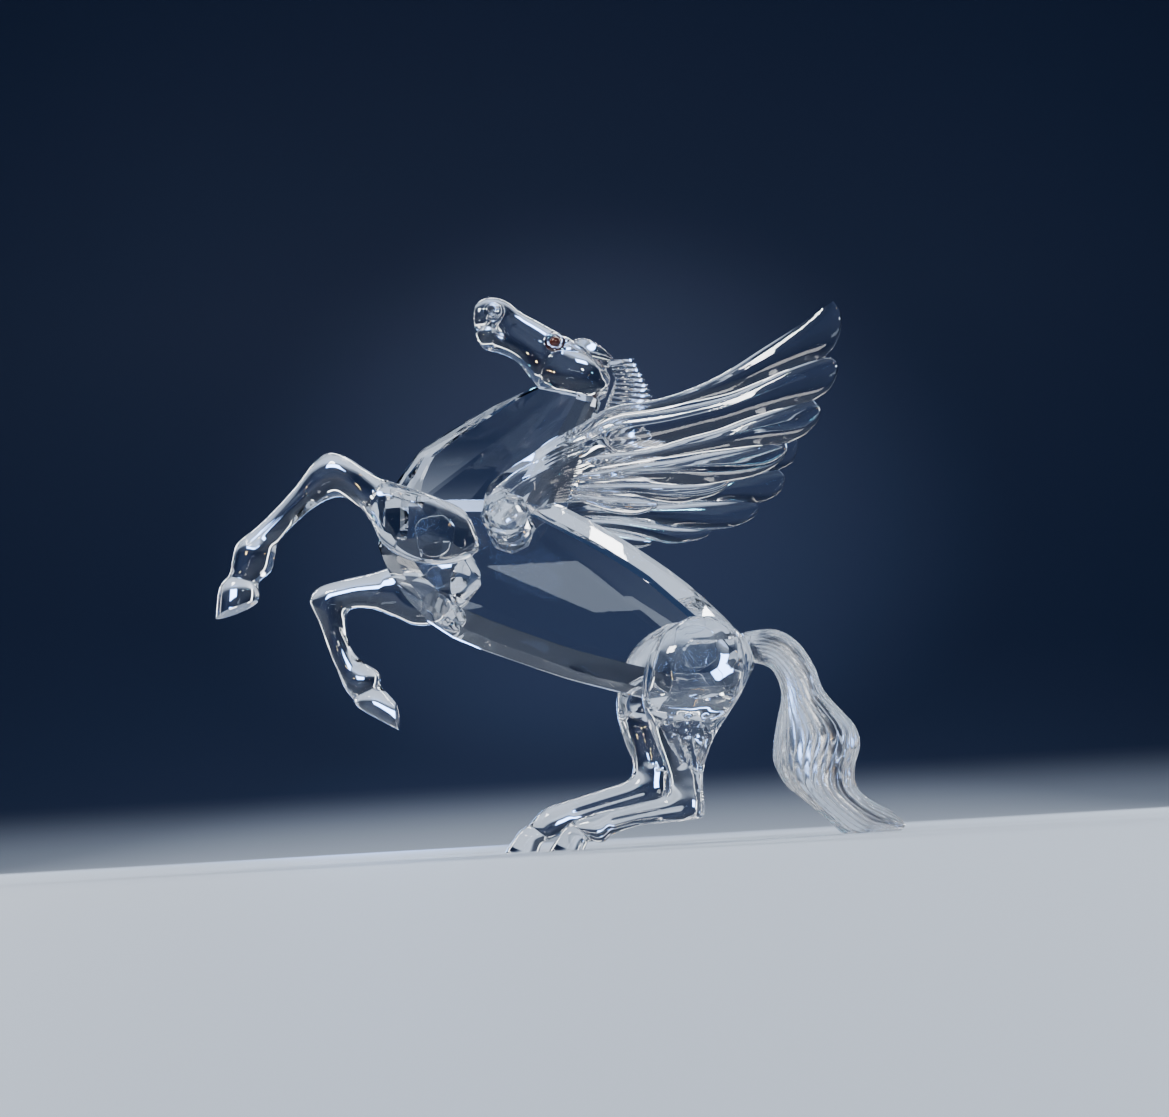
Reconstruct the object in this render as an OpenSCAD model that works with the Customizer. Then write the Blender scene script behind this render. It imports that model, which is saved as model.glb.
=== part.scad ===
// Crystal figurine of a rearing winged horse, put together from clear and satin glass pieces.
// The horse faces -X, its left side faces -Y, and it stands on two hooves and the tail tip at Z = 0.

/* [Body and neck] */
// Half the thickness of the barrel across its flat side facets
body_half = 10.5; // [10:0.25:11]
// Half the width of the narrow facets that run round the edge of the barrel
edge_half = 2.5; // [2:0.25:3]
// Half the thickness of the neck where it meets the barrel
neck_base_half = 9.5; // [8.5:0.25:10]
// Half the thickness of the neck where it meets the head
neck_top_half = 4.8; // [4:0.2:5.4]
// Thickness of the clear adhesive film between two glued facets
bond = 0.3; // [0.2:0.05:0.5]

/* [Head and mane] */
// Radius of each dark eye stone
eye_radius = 1.2; // [1:0.1:1.4]
// Half the thickness of the head at the cheeks
cheek_half = 4.6; // [4:0.2:5.2]
// Number of ribs in the comb of the mane
mane_ribs = 14; // [12:1:18]
// Half the thickness of the mane where it meets the neck
mane_half = 1.9; // [1.6:0.1:2.2]

/* [Wings] */
// Sideways travel of the wing for each millimetre towards its tip
wing_flare = 0.3; // [0.2:0.02:0.36]
// Half the thickness of a feather along its middle
feather_half = 1.5; // [1.2:0.1:1.8]
// Radius of the boss that is glued to the shoulder
boss_radius = 5.2; // [4.6:0.2:5.6]

/* [Legs and tail] */
// Half the thickness of the shoulder and haunch discs
haunch_half = 4.8; // [4.4:0.1:5]
// Half the thickness of the tail at its widest
tail_half = 4.2; // [3.6:0.2:4.8]

/* [Smoothness] */
// Points around each moulded section
ring_points = 20; // [16:2:24]
// Sections between one hand-set station and the next
section_steps = 3; // [2:1:3]

/* [Hidden] */
pad = body_half + bond;
joint_z = 72.2;
joint_tilt = 3.5;
poll_z = 98.8;
poll_tilt = 15;
no_limit = -99;
ground = [0, 0];
clear_glass = [0.86, 0.92, 0.97, 0.35];
satin_glass = [0.94, 0.95, 0.97, 1];
eye_glass = [0.22, 0.08, 0.05, 1];
film_glass = [0.9, 0.95, 1, 0.35];

// A station is [ax, az, bx, bz, out, half, limit]: the two silhouette points of one section,
// the distance of its centre from the middle plane, its half thickness and its inner limit.
function curve(a, b, c, d, t) =
  0.5 * (2 * b + (c - a) * t + (2 * a - 5 * b + 4 * c - d) * t * t + (3 * b - a - 3 * c + d) * t * t * t);

function fill(s, steps) = concat(
  [
    for (i = [0:len(s) - 2])
      for (j = [0:steps - 1])
        curve(s[max(i - 1, 0)], s[i], s[i + 1], s[min(i + 2, len(s) - 1)], j / steps)
  ],
  [s[len(s) - 1]]
);

// floor_line is [z at x = 0, slope]: the section stays above it.
// Strands are ripples round the section, counted by the last number.
ripple = 0.05;

function ring(q, side, n, floor_line, strands) = [
  for (i = [0:n - 1])
    let (
      a = 360 * i / n,
      wave = strands == 0 ? 1 : 1 - ripple + ripple * cos(strands * a),
      x = (q[0] + q[2]) / 2 + (q[0] - q[2]) / 2 * cos(a) * wave,
      z = (q[1] + q[3]) / 2 + (q[1] - q[3]) / 2 * cos(a) * wave
    )
      [x, side * max(q[6], q[4] + q[5] * wave * sin(a)), max(z, floor_line[0] + floor_line[1] * x)]
];

function turn(s) =
  (s[1][0] + s[1][2] - s[0][0] - s[0][2]) * (s[1][1] - s[1][3])
  - (s[1][1] + s[1][3] - s[0][1] - s[0][3]) * (s[1][0] - s[1][2]);

// One closed moulded solid through all the stations.
module moulding(
  stations, side = 1, n = ring_points, steps = section_steps, floor_line = ground, strands = 0
) {
  s = fill(stations, steps);
  m = len(s);
  flip = turn(stations) * side > 0;
  sides = [
    for (r = [0:m - 2])
      for (i = [0:n - 1])
        let (a = r * n + i, b = r * n + (i + 1) % n)
          each [[a, b, b + n], [a, b + n, a + n]]
  ];
  ends = [
    [for (i = [0:n - 1]) n - 1 - i],
    [for (i = [0:n - 1]) (m - 1) * n + i]
  ];
  shell = concat(sides, ends);
  polyhedron(
    points = [for (q = s) each ring(q, side, n, floor_line, strands)],
    faces = flip ? shell : [for (f = shell) [for (i = [len(f) - 1:-1:0]) f[i]]]
  );
}

// The convex solid round a list of points.
module crystal(points) {
  hull()
    polyhedron(points = points, faces = [[for (i = [0:len(points) - 1]) i]]);
}

// A closed shell between two point grids of the same size, such as the two faces of a wing.
module shell(front, back, flip) {
  rows = len(front);
  cols = len(front[0]);
  size = rows * cols;
  quads = concat(
    [
      for (r = [0:rows - 2])
        for (c = [0:cols - 2])
          let (k = r * cols + c)
            each [[k, k + 1, k + cols + 1, k + cols],
              [size + k + cols, size + k + cols + 1, size + k + 1, size + k]]
    ],
    [
      for (c = [0:cols - 2])
        let (k = (rows - 1) * cols + c)
          each [[c + 1, c, size + c, size + c + 1], [k, k + 1, size + k + 1, size + k]]
    ],
    [
      for (r = [0:rows - 2])
        let (k = r * cols, e = k + cols - 1)
          each [[k, k + cols, size + k + cols, size + k], [e + cols, e, size + e, size + e + cols]]
    ]
  );
  faces = [for (q = quads) each [[q[0], q[1], q[2]], [q[0], q[2], q[3]]]];
  polyhedron(
    points = concat([for (row = front) each row], [for (row = back) each row]),
    faces = flip ? [for (f = faces) [f[2], f[1], f[0]]] : faces
  );
}

function both_sides(points) = [for (p = points) for (side = [-1, 1]) [p[0], side * p[2], p[1]]];
function joint_at(x) = joint_z - tan(joint_tilt) * x;
function poll_at(x) = poll_z - tan(poll_tilt) * x;
function on_joint(x, half, lift = 0) = [x, joint_at(x) + lift / cos(joint_tilt), half];
function under_poll(x, half) = [x, poll_at(x) - bond / cos(poll_tilt), half];

// Barrel: a long crystal with narrow edge facets, bevels and one large flat on each side.
barrel_edge = [
  [-37.5, 66], [-34.5, 58], [-26, 48], [-8.5, 40], [14.5, 32], [28, 28.5], [37.5, 31],
  [40.8, 36.5], [38.5, 43], [30.5, 52], [22.5, 59]
];
barrel_bevel = [
  [-34, 66], [-31.5, 59], [-24, 51], [-7, 43], [15.5, 35], [28, 30.5], [36, 32.5],
  [38.5, 37], [36.5, 42.5], [29, 50.5], [21, 57]
];
barrel_side = [
  [-30.5, 66], [-28.5, 59.5], [-22, 53], [-6, 46.5], [17, 37.5], [27, 32.5], [33, 34],
  [35.5, 38], [34, 42.5], [27, 48], [19, 54]
];
bevel_share = 0.7;

module body() {
  bevel_half = body_half * bevel_share;
  rim = concat(
    [for (p = barrel_edge) [p[0], p[1], edge_half]],
    [for (p = barrel_bevel) [p[0], p[1], bevel_half]],
    [for (p = barrel_side) [p[0], p[1], body_half]]
  );
  top = [
    on_joint(-36.8, edge_half), on_joint(-33.5, bevel_half), on_joint(-29.5, body_half),
    on_joint(-2.5, body_half), on_joint(1, bevel_half), on_joint(3.3, edge_half)
  ];
  color(clear_glass)
    crystal(both_sides(concat(rim, top)));
}

// Neck: tapers from the barrel up to the head, with facets that run together at the throat.
module neck() {
  chest_half = 7.5;
  withers_half = 6.5;
  throat_half = neck_top_half - 0.4;
  throat = [[-33, 80.5, edge_half], [-28.5, 86, edge_half], [-19.5, 92.2, edge_half]];
  front = [[-29.5, 80.5, 7.2], [-25, 85, 6.4], [-17, 90, 5.6]];
  base = [
    on_joint(-36.3, edge_half, bond), on_joint(-32.5, chest_half, bond),
    on_joint(-28, neck_base_half, bond), on_joint(-5, neck_base_half, bond),
    on_joint(0, withers_half, bond), on_joint(3, edge_half, bond)
  ];
  top = [
    under_poll(-2.5, edge_half), under_poll(0, throat_half),
    under_poll(8.5, neck_top_half), under_poll(11.8, edge_half)
  ];
  color(clear_glass)
    crystal(both_sides(concat(throat, front, base, top)));
}

// Head: from the back of the poll down to the muzzle, flat underneath where it meets the neck.
head_stations = [
  [14.3, 100.5, 13, 96.5, 0, 2.6, no_limit],
  [13.3, 103.2, 9, 95, 0, cheek_half - 0.8, no_limit],
  [11.2, 106, 4, 96.8, 0, cheek_half, no_limit],
  [8.2, 108.5, -1, 99.2, 0, cheek_half, no_limit],
  [5.3, 110.7, -3.6, 102.3, 0, cheek_half - 0.4, no_limit],
  [2.2, 112.6, -5.4, 105, 0, cheek_half - 0.9, no_limit],
  [-1.5, 115, -7.6, 106.9, 0, cheek_half - 1.4, no_limit],
  [-4.6, 117, -9.8, 108, 0, 2.8, no_limit],
  [-7.2, 119.4, -11.8, 108.6, 0, 2.7, no_limit],
  [-9.6, 120.6, -13.4, 109.4, 0, 2.9, no_limit],
  [-12.2, 120.7, -14.6, 111.4, 0, 2.9, no_limit],
  [-14.2, 119.6, -15, 113.4, 0, 2.3, no_limit],
  [-14.9, 117.8, -15, 115.4, 0, 1.2, no_limit]
];
eye_place = [2.6, 108.8];
eye_floor = 2.5;
eye_gap = 0.1;
socket_depth = 4;
head_points = 24;
ear_points = 10;
ear_steps = 2;
ear_stations = [
  [6.6, 109.2, 5.4, 107.6, 2.6, 0.7, no_limit],
  [9.2, 109.4, 7.6, 106.2, 2.8, 1.1, no_limit],
  [12.4, 107.4, 10.6, 104.6, 3, 1, no_limit],
  [15, 104.6, 14.2, 103.8, 3.1, 0.3, no_limit]
];

module eye_axis(side) {
  translate([eye_place[0], side * eye_floor, eye_place[1]])
    rotate([-90 * side, 0, 0])
      children();
}

module head() {
  color(clear_glass)
    difference() {
      union() {
        moulding(head_stations, n = head_points, floor_line = [poll_z, -tan(poll_tilt)]);
        for (side = [-1, 1])
          moulding(ear_stations, side, ear_points, ear_steps);
      }
      for (side = [-1, 1])
        eye_axis(side)
          cylinder(r = eye_radius + eye_gap, h = socket_depth, $fn = 32);
    }
}

eye_dome = 0.9;
eye_wall = 0.7;

module eye(side) {
  color(eye_glass)
    eye_axis(side)
      rotate_extrude($fn = 32)
        polygon(concat(
          [[0, 0], [eye_radius, 0]],
          [for (a = [0:15:90]) [eye_radius * cos(a), eye_wall + eye_dome * sin(a)]]
        ));
}

module eye_left() {
  eye(-1);
}

module eye_right() {
  eye(1);
}

// Mane: a satin comb down the back of the head and neck, with a ridge for every rib.
mane_root = [[13.6, 104.6], [15.2, 100.5], [13.4, 95.8], [10.9, 89.6], [8.3, 83.2], [5.5, 76.4]];
mane_edge = [[19.8, 104.9], [21.8, 100.2], [23.2, 95.2], [20.4, 87.2], [15.6, 79.6], [9.4, 72.8]];

function along(points, t) =
  let (k = t * (len(points) - 1), i = min(floor(k), len(points) - 2))
    points[i] + (points[i + 1] - points[i]) * (k - i);

// Between two ridges the comb is shorter and thinner, and every ridge thins towards its edge.
valley_reach = 0.93;
valley_depth = 0.72;
edge_thinning = 0.7;
mane_columns = [0, 0.35, 0.7, 1];

function mane_face(side) = [
  for (i = [0:2 * mane_ribs])
    let (
      ridge = i % 2,
      a = along(mane_root, i / (2 * mane_ribs)),
      b = along(mane_edge, i / (2 * mane_ribs)),
      reach = ridge ? 1 : valley_reach,
      deep = ridge ? 1 : valley_depth
    )
      [for (v = mane_columns)
        let (p = a + (b - a) * v * reach)
          [p[0], side * mane_half * (v == 0 ? 1 : deep * (1 - edge_thinning * v)), p[1]]]
];

module mane() {
  color(satin_glass)
    shell(mane_face(1), mane_face(-1), false);
}

// Wings: an arm plate that fans out into six feathers, and a boss on the shoulder.
// The seven lines that run from the covert edge to the notches bound the six feathers.
feather_lines = [
  [[16, 89.5], [22, 89.5], [28, 90.4], [36, 92.8], [44.5, 97], [52.8, 101.2], [58.8, 104.8]],
  [[15.8, 87], [23.5, 87], [31.8, 87.5], [38, 88.4], [44, 90.2], [50.2, 92.2], [56.2, 93.4]],
  [[13, 79.5], [21, 79.4], [29.3, 80.6], [35.4, 81.5], [41.5, 83], [47.5, 84.2], [53.3, 85]],
  [[11, 76.2], [18.5, 76.6], [25, 76.5], [31.1, 76.8], [37.1, 77], [43.1, 77.2], [47.6, 77]],
  [[9.3, 73.4], [14, 73], [18.6, 72.5], [23.5, 71.7], [28, 71], [32.5, 70.6], [36.3, 70.7]],
  [[7.5, 71.3], [10, 70.8], [12.3, 70.4], [14.5, 70], [16.7, 69.6], [19, 69], [21.6, 68.2]],
  [[7, 70], [8.6, 69], [11, 67.7], [13.8, 66.8], [16.5, 66.3], [19, 66.4], [21.4, 67]]
];
// The round ends of the feathers: three points between one notch and the next.
feather_ends = [
  [[60, 102.2], [59.8, 99], [58.7, 96]],
  [[58.2, 92.6], [58.4, 90], [56.6, 86.8]],
  [[54.6, 83.4], [54, 80.8], [51.4, 78.4]],
  [[47.5, 75], [45.2, 72.8], [41, 71.2]],
  [[34.8, 69.1], [31.5, 68], [26.5, 67.4]],
  [[21.8, 67.9], [21.8, 67.6], [21.7, 67.3]]
];
arm_rows = [
  [[-14, 71], [-12.2, 67]], [[-12.6, 75.4], [-7, 66.4]], [[-8, 78.8], [-3.4, 69.6]],
  [[-3.8, 81.4], [0, 70.6]], [[0.6, 84.2], [2.4, 70.6]], [[6.8, 86.7], [4.4, 70.5]],
  [[11.4, 89], [5.8, 70.3]], [[15.2, 89.7], [6.6, 70.1]]
];
boss_place = [-9.6, 69];
wing_start = -3;
wing_offset = 2.6;
cells = 4;
feather_rows = [0.02, 0.12, 0.25, 0.38, 0.5, 0.62, 0.74, 0.84, 0.92, 0.97, 1];
// The groove between two feathers has this share of the full thickness, and the tips thin out.
groove_share = 0.3;
tip_thinning = 0.75;
arm_edge = 0.5;
arm_swell = 1.6;

function wing_out(x) = pad + wing_offset + wing_flare * max(0, x - wing_start);

// A point of feather k at t from the covert edge to the tip and s across from its upper line.
function feather_point(k, t, s) =
  let (
    last = len(feather_lines[0]) - 1,
    plain = along(feather_lines[k], t) * (1 - s) + along(feather_lines[k + 1], t) * s,
    ends = concat([feather_lines[k][last]], feather_ends[k], [feather_lines[k + 1][last]]),
    straight = feather_lines[k][last] * (1 - s) + feather_lines[k + 1][last] * s
  )
    plain + (along(ends, s) - straight) * pow(t, 3);

function feather_row(t, way) = [
  for (k = [0:5])
    for (c = [0:k < 5 ? cells - 1 : cells])
      let (
        s = c / cells,
        p = feather_point(k, t, s),
        vane = groove_share + (1 - groove_share) * sin(180 * s),
        half = feather_half * vane * (1 - tip_thinning * pow(t, 4))
      )
        [p[0], wing_out(p[0]) + way * half, p[1]]
];

function arm_row(i, way) = [
  for (c = [0:6 * cells])
    let (
      s = c / (6 * cells),
      p = arm_rows[i][0] * (1 - s) + arm_rows[i][1] * s,
      half = arm_edge + arm_swell * sin(180 * s)
    )
      [p[0], wing_out(p[0]) + way * half, p[1]]
];

function sided(grid, side) = [for (row = grid) [for (p = row) [p[0], side * p[1], p[2]]]];

function wing_face(side, way) = sided(
  concat(
    [for (i = [0:len(arm_rows) - 1]) arm_row(i, way)],
    [for (t = feather_rows) feather_row(t, way)]
  ),
  side
);

// Profile of the boss: shares of its radius, and heights above the glued plane.
boss_shape = [[0, 0], [0.65, 0], [1, 2.6], [0.85, 4.4], [0.4, 5.6], [0, 5.6]];

module wing(side) {
  color(clear_glass) {
    shell(wing_face(side, 1), wing_face(side, -1), side < 0);
    translate([boss_place[0], side * pad, boss_place[1]])
      rotate([-90 * side, 0, 0])
        rotate_extrude($fn = 32)
          polygon([for (p = boss_shape) [boss_radius * p[0], p[1]]]);
  }
}

module wing_left() {
  wing(-1);
}

module wing_right() {
  wing(1);
}

// Legs: each is one moulded piece, from the glued disc down to the sole of the hoof.
// The fifth number is counted outwards from the glued plane.
function leg_stations(s) = [
  for (q = s)
    [q[0], q[1], q[2], q[3], pad + q[4], q[5], q[6]]
];
foreleg_left_stations = [
  [-15.5, 64.5, -15.5, 62, 1.6, 1, pad],
  [-18, 70.3, -18.5, 60, 2.6, 2.8, pad],
  [-24, 73.6, -24, 59.2, 3.2, 4.2, pad],
  [-30, 76, -30, 60.6, 3.7, haunch_half, pad],
  [-34.5, 77.8, -35, 64, 4, 4.6, pad],
  [-38, 80, -37.2, 68.6, 4.2, 4.2, 9],
  [-41.5, 82.6, -39.6, 72.2, 4, 4, 6],
  [-45, 84, -43.2, 74.6, 3.6, 3.8, 0],
  [-48.6, 82.4, -46.6, 74.2, 3.2, 3.5, 0],
  [-52.5, 77.6, -50, 72.3, 3, 2.9, 0],
  [-57, 73, -54, 69, 2.8, 2.6, 0],
  [-61.5, 69, -56.8, 66, 2.6, 2.6, 0],
  [-65.2, 66.2, -57.6, 63, 2.4, 3, 0],
  [-66.4, 62.6, -58.4, 60.2, 2.3, 2.8, 0],
  [-67, 60, -61, 58, 2.2, 2.5, 0],
  [-69.2, 57, -61, 55.4, 2.2, 3.3, 0],
  [-70, 50.8, -61.4, 54, 2.2, 3.6, 0]
];
foreleg_right_stations = [
  [-16.5, 60.5, -16.5, 57.5, 1.6, 1, pad],
  [-20, 66, -20.5, 53.6, 2.6, 3, pad],
  [-26, 67.4, -26.5, 51.2, 3.4, 4.3, pad],
  [-32, 66.2, -32, 51, 3.8, haunch_half, pad],
  [-37, 64.4, -36.4, 53, 3.8, 4.2, 10],
  [-42, 63, -41, 55, 3.5, 3.8, 6],
  [-47.5, 62, -44.5, 55.6, 3.2, 3.5, 0],
  [-53.4, 60.4, -46.6, 55.2, 3, 3.4, 0],
  [-55.4, 57.4, -47.4, 53.6, 2.8, 3.3, 0],
  [-54, 54, -47.4, 51.4, 2.6, 2.9, 0],
  [-52.4, 49.6, -46.9, 48.4, 2.3, 2.4, 0],
  [-50.8, 45, -45.8, 45.2, 2, 2.3, 0],
  [-49.3, 40.8, -43, 42.6, 1.8, 2.5, 0],
  [-48, 37.6, -40.4, 40.6, 1.7, 2.9, 0],
  [-46.2, 35, -40, 37.6, 1.6, 2.5, 0],
  [-44.6, 32.8, -38.4, 35.6, 1.6, 3.2, 0],
  [-36.6, 27.8, -36.8, 33.6, 1.6, 3.4, 0]
];
hindleg_left_stations = [
  [27, 45.6, 32, 45.6, 1.7, 1, pad],
  [21.6, 42.6, 36.8, 42, 2.6, 3.4, pad],
  [18.2, 38, 39.2, 37.4, 3.4, haunch_half - 0.2, pad],
  [16.7, 33, 38.4, 33.2, 3.5, haunch_half, pad],
  [16.4, 29, 36.4, 29.2, 3.1, haunch_half, pad],
  [17, 25.5, 33.8, 25.5, 2.2, 4.4, 8],
  [18, 22, 31.2, 22, 1.2, 3.6, 0],
  [19.3, 18.4, 29.3, 18.4, 0.2, 3.1, 0],
  [20.6, 14.6, 28, 14.4, -0.6, 2.9, 0],
  [21, 11.8, 27.7, 10.6, -1.1, 2.9, 0],
  [20.4, 10.3, 27.8, 7, -1.5, 2.9, 0],
  [18.6, 9.3, 26.8, 4.9, -1.8, 2.7, 0],
  [15.2, 8.7, 20.6, 4.4, -2, 2.3, 0],
  [11, 8, 14.2, 4.1, -2.2, 2, 0],
  [6.6, 7.4, 9.4, 2.8, -2.4, 2.1, 0],
  [3.4, 6.6, 7, 1.2, -2.6, 2.5, 0],
  [0.6, 5.6, 4.8, 1.4, -2.7, 2.2, 0],
  [-1.2, 4.2, 3.6, 1.2, -2.8, 2.8, 0],
  [-4.4, 0, 3, 0, -2.8, 3.2, 0]
];
hindleg_right_stations = [
  [23, 46.2, 28, 46.2, 1.7, 1, pad],
  [17.4, 43.4, 33.4, 42.8, 2.6, 3.4, pad],
  [13.6, 38.8, 36.4, 38.4, 3.4, haunch_half - 0.2, pad],
  [12, 33.8, 35, 34, 3.5, haunch_half, pad],
  [11.5, 29.6, 32.2, 29.6, 3.1, haunch_half, pad],
  [12, 25.4, 28.8, 25.4, 2.2, 4.4, 8],
  [13, 21.6, 25.2, 21.8, 1.2, 3.6, 0],
  [14, 18.6, 22.6, 18, 0.2, 3, 0],
  [14.2, 16.2, 21.2, 13.6, -0.6, 2.9, 0],
  [13.4, 14.4, 20.8, 10.4, -1.1, 2.9, 0],
  [11.6, 13.4, 19.2, 8.2, -1.5, 2.7, 0],
  [7.6, 12.3, 12, 7.4, -1.8, 2.3, 0],
  [1, 10.6, 4, 5.8, -2.2, 2, 0],
  [-5, 9, -1.4, 3.4, -2.5, 2.4, 0],
  [-8.6, 5.8, -4.6, 2.2, -2.7, 2.3, 0],
  [-11, 4.2, -6.2, 1.6, -2.8, 2.8, 0],
  [-14.2, 0, -6.8, 0, -2.8, 3.2, 0]
];

module foreleg_left() {
  color(clear_glass)
    moulding(leg_stations(foreleg_left_stations), -1);
}

module foreleg_right() {
  color(clear_glass)
    moulding(leg_stations(foreleg_right_stations), 1);
}

module hindleg_left() {
  color(clear_glass)
    moulding(leg_stations(hindleg_left_stations), -1);
}

module hindleg_right() {
  color(clear_glass)
    moulding(leg_stations(hindleg_right_stations), 1);
}

// Tail: one satin piece that sweeps down behind the horse and rests on its flat tip.
tail_top = [38.5, 43];
tail_low = [40.8, 36.5];
tail_tilt = atan2(tail_low[0] - tail_top[0], tail_top[1] - tail_low[1]);
tail_shift = [bond * cos(tail_tilt), bond * sin(tail_tilt)];
tail_points = 36;
tail_strands = 12;
tail_stations = [
  [tail_top[0] + tail_shift[0], tail_top[1] + tail_shift[1],
    tail_low[0] + tail_shift[0], tail_low[1] + tail_shift[1], 0, 0.55, no_limit],
  [43.6, 43.7, 43.2, 36, 0, 0.66, no_limit],
  [47.4, 43, 44.8, 34.8, 0, 0.72, no_limit],
  [51, 40, 46, 32, 0, 0.8, no_limit],
  [53.7, 35, 46.2, 29, 0, 0.85, no_limit],
  [55.2, 30, 45.5, 26.3, 0, 0.9, no_limit],
  [57.8, 26.4, 44.6, 23, 0, 0.96, no_limit],
  [61, 22.2, 43.7, 19, 0, 1, no_limit],
  [61.6, 18, 43.5, 15.2, 0, 1, no_limit],
  [60.2, 13.4, 45.5, 10.8, 0, 0.94, no_limit],
  [60.3, 9.4, 49, 7.4, 0, 0.86, no_limit],
  [63.2, 6.4, 53, 3.6, 0, 0.78, no_limit],
  [66.8, 4.2, 57.6, -0.6, 0, 0.68, no_limit],
  [69, 2.2, 63.5, -0.6, 0, 0.5, no_limit],
  [69.7, 1, 68.4, -0.2, 0, 0.25, no_limit]
];

module tail() {
  color(satin_glass)
    moulding(
      [for (q = tail_stations) [q[0], q[1], q[2], q[3], q[4], tail_half * q[5], q[6]]],
      n = tail_points, strands = tail_strands
    );
}

// Clear adhesive films between the glued facets.
joint_film = [[-36, -2], [-28, -9], [-5, -9], [2.5, -2], [2.5, 2], [-5, 9], [-28, 9], [-36, 2]];
poll_film = [[0.4, -2.6], [8, -3.2], [8, 3.2], [0.4, 2.6]];
// Each is [x, z, radius, side].
leg_films = [[-25, 66, 3.5, -1], [-25.5, 59.5, 2.5, 1], [28, 38.5, 4, -1], [26, 38.5, 4, 1]];
boss_film_radius = 2.8;

module bond_neck() {
  color(film_glass) {
    translate([0, 0, joint_z])
      rotate([0, joint_tilt, 0])
        linear_extrude(bond)
          polygon(joint_film);
    translate([0, 0, poll_z])
      rotate([0, poll_tilt, 0])
        translate([0, 0, -bond])
          linear_extrude(bond)
            polygon(poll_film);
  }
}

// A narrow film of one bond's thickness, from low to high along a line in the middle plane.
module film_strip(place, tilt, low, high, width) {
  color(film_glass)
    translate([place[0], 0, place[1]])
      rotate([0, tilt, 0])
        translate([0, -width / 2, low])
          cube([bond, width, high - low]);
}

module bond_mane() {
  root = [11.8, poll_at(11.8)];
  foot = [3, joint_at(3)];
  tilt = atan2(root[0] - foot[0], root[1] - foot[1]);
  film_strip(foot, tilt, low = 5, high = 21, width = 2);
}

module bond_tail() {
  film_strip(tail_low, -tail_tilt, low = 1, high = 6, width = 3);
}

module film_disc(x, z, r, side) {
  translate([x, side * body_half, z])
    rotate([-90 * side, 0, 0])
      cylinder(r = r, h = bond, $fn = 48);
}

module bond_legs() {
  color(film_glass)
    for (f = leg_films)
      film_disc(f[0], f[1], f[2], f[3]);
}

module bond_wings() {
  color(film_glass)
    for (side = [-1, 1])
      film_disc(boss_place[0], boss_place[1], boss_film_radius, side);
}

body();
neck();
head();
mane();
wing_left();
wing_right();
foreleg_left();
foreleg_right();
hindleg_left();
hindleg_right();
tail();
eye_left();
eye_right();
bond_neck();
bond_mane();
bond_legs();
bond_wings();
bond_tail();
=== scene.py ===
"""Looks of the crystal winged horse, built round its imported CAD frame.

Shapes are written in millimetres, in the frame's own axes: the horse faces -X, its left side
faces -Y, and the ground is Z = 0. Each piece is fitted to the box of the CAD node it replaces.
"""

import math

import bmesh
import bpy
import numpy as np
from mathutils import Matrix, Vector

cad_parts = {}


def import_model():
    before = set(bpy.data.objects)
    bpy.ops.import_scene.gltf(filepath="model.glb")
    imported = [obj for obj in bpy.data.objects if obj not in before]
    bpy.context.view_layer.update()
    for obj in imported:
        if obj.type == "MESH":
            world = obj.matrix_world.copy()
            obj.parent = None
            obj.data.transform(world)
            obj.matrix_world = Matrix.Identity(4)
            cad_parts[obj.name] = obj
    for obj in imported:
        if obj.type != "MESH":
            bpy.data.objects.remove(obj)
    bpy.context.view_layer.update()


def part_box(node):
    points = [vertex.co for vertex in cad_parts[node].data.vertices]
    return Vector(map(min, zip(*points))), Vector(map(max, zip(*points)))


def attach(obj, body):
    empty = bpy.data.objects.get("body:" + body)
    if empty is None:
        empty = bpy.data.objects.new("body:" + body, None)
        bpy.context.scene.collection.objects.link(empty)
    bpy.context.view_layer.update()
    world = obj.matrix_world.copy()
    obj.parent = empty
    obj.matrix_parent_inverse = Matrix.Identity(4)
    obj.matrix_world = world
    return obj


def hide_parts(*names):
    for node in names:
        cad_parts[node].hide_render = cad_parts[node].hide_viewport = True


MM = 0.001
LEFT = -1
RIGHT = 1
# Half the barrel's width, the thickness of an adhesive film, and where a glued piece's pad starts.
BODY_HALF = 10.5
BOND = 0.3
PAD = BODY_HALF + BOND
# The inner limit of a piece that has none.
FREE = -99.0

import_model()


# ---------------------------------------------------------------- materials

CRYSTAL_IOR = 1.54
HEAVY_CRYSTAL_IOR = 1.56
ADHESIVE_IOR = 1.5
STONE_IOR = 1.6
ROUGHNESS_SCALE = 90


def new_material(name):
    """A material with its node tree and its shader."""
    material = bpy.data.materials.new(name)
    material.use_nodes = True
    tree = material.node_tree
    shader = tree.nodes["Principled BSDF"]
    return material, tree, shader


def noise_texture(tree, place, scale, detail):
    noise = tree.nodes.new("ShaderNodeTexNoise")
    noise.inputs["Scale"].default_value = scale
    noise.inputs["Detail"].default_value = detail
    tree.links.new(place.outputs["Object"], noise.inputs["Vector"])
    return noise


def add_bump(tree, shader, place, scale, strength, distance):
    """Fine surface relief from noise in object space."""
    noise = noise_texture(tree, place, scale, 3)
    bump = tree.nodes.new("ShaderNodeBump")
    bump.inputs["Strength"].default_value = strength
    bump.inputs["Distance"].default_value = distance
    tree.links.new(noise.outputs["Fac"], bump.inputs["Height"])
    tree.links.new(bump.outputs["Normal"], shader.inputs["Normal"])


def add_roughness(tree, shader, place, scale, low, high):
    """Roughness that drifts between two values, as on a handled polished surface."""
    noise = noise_texture(tree, place, scale, 2)
    spread = tree.nodes.new("ShaderNodeMapRange")
    spread.inputs["From Min"].default_value = 0.35
    spread.inputs["From Max"].default_value = 0.65
    spread.inputs["To Min"].default_value = low
    spread.inputs["To Max"].default_value = high
    tree.links.new(noise.outputs["Fac"], spread.inputs["Value"])
    tree.links.new(spread.outputs["Result"], shader.inputs["Roughness"])


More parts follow.
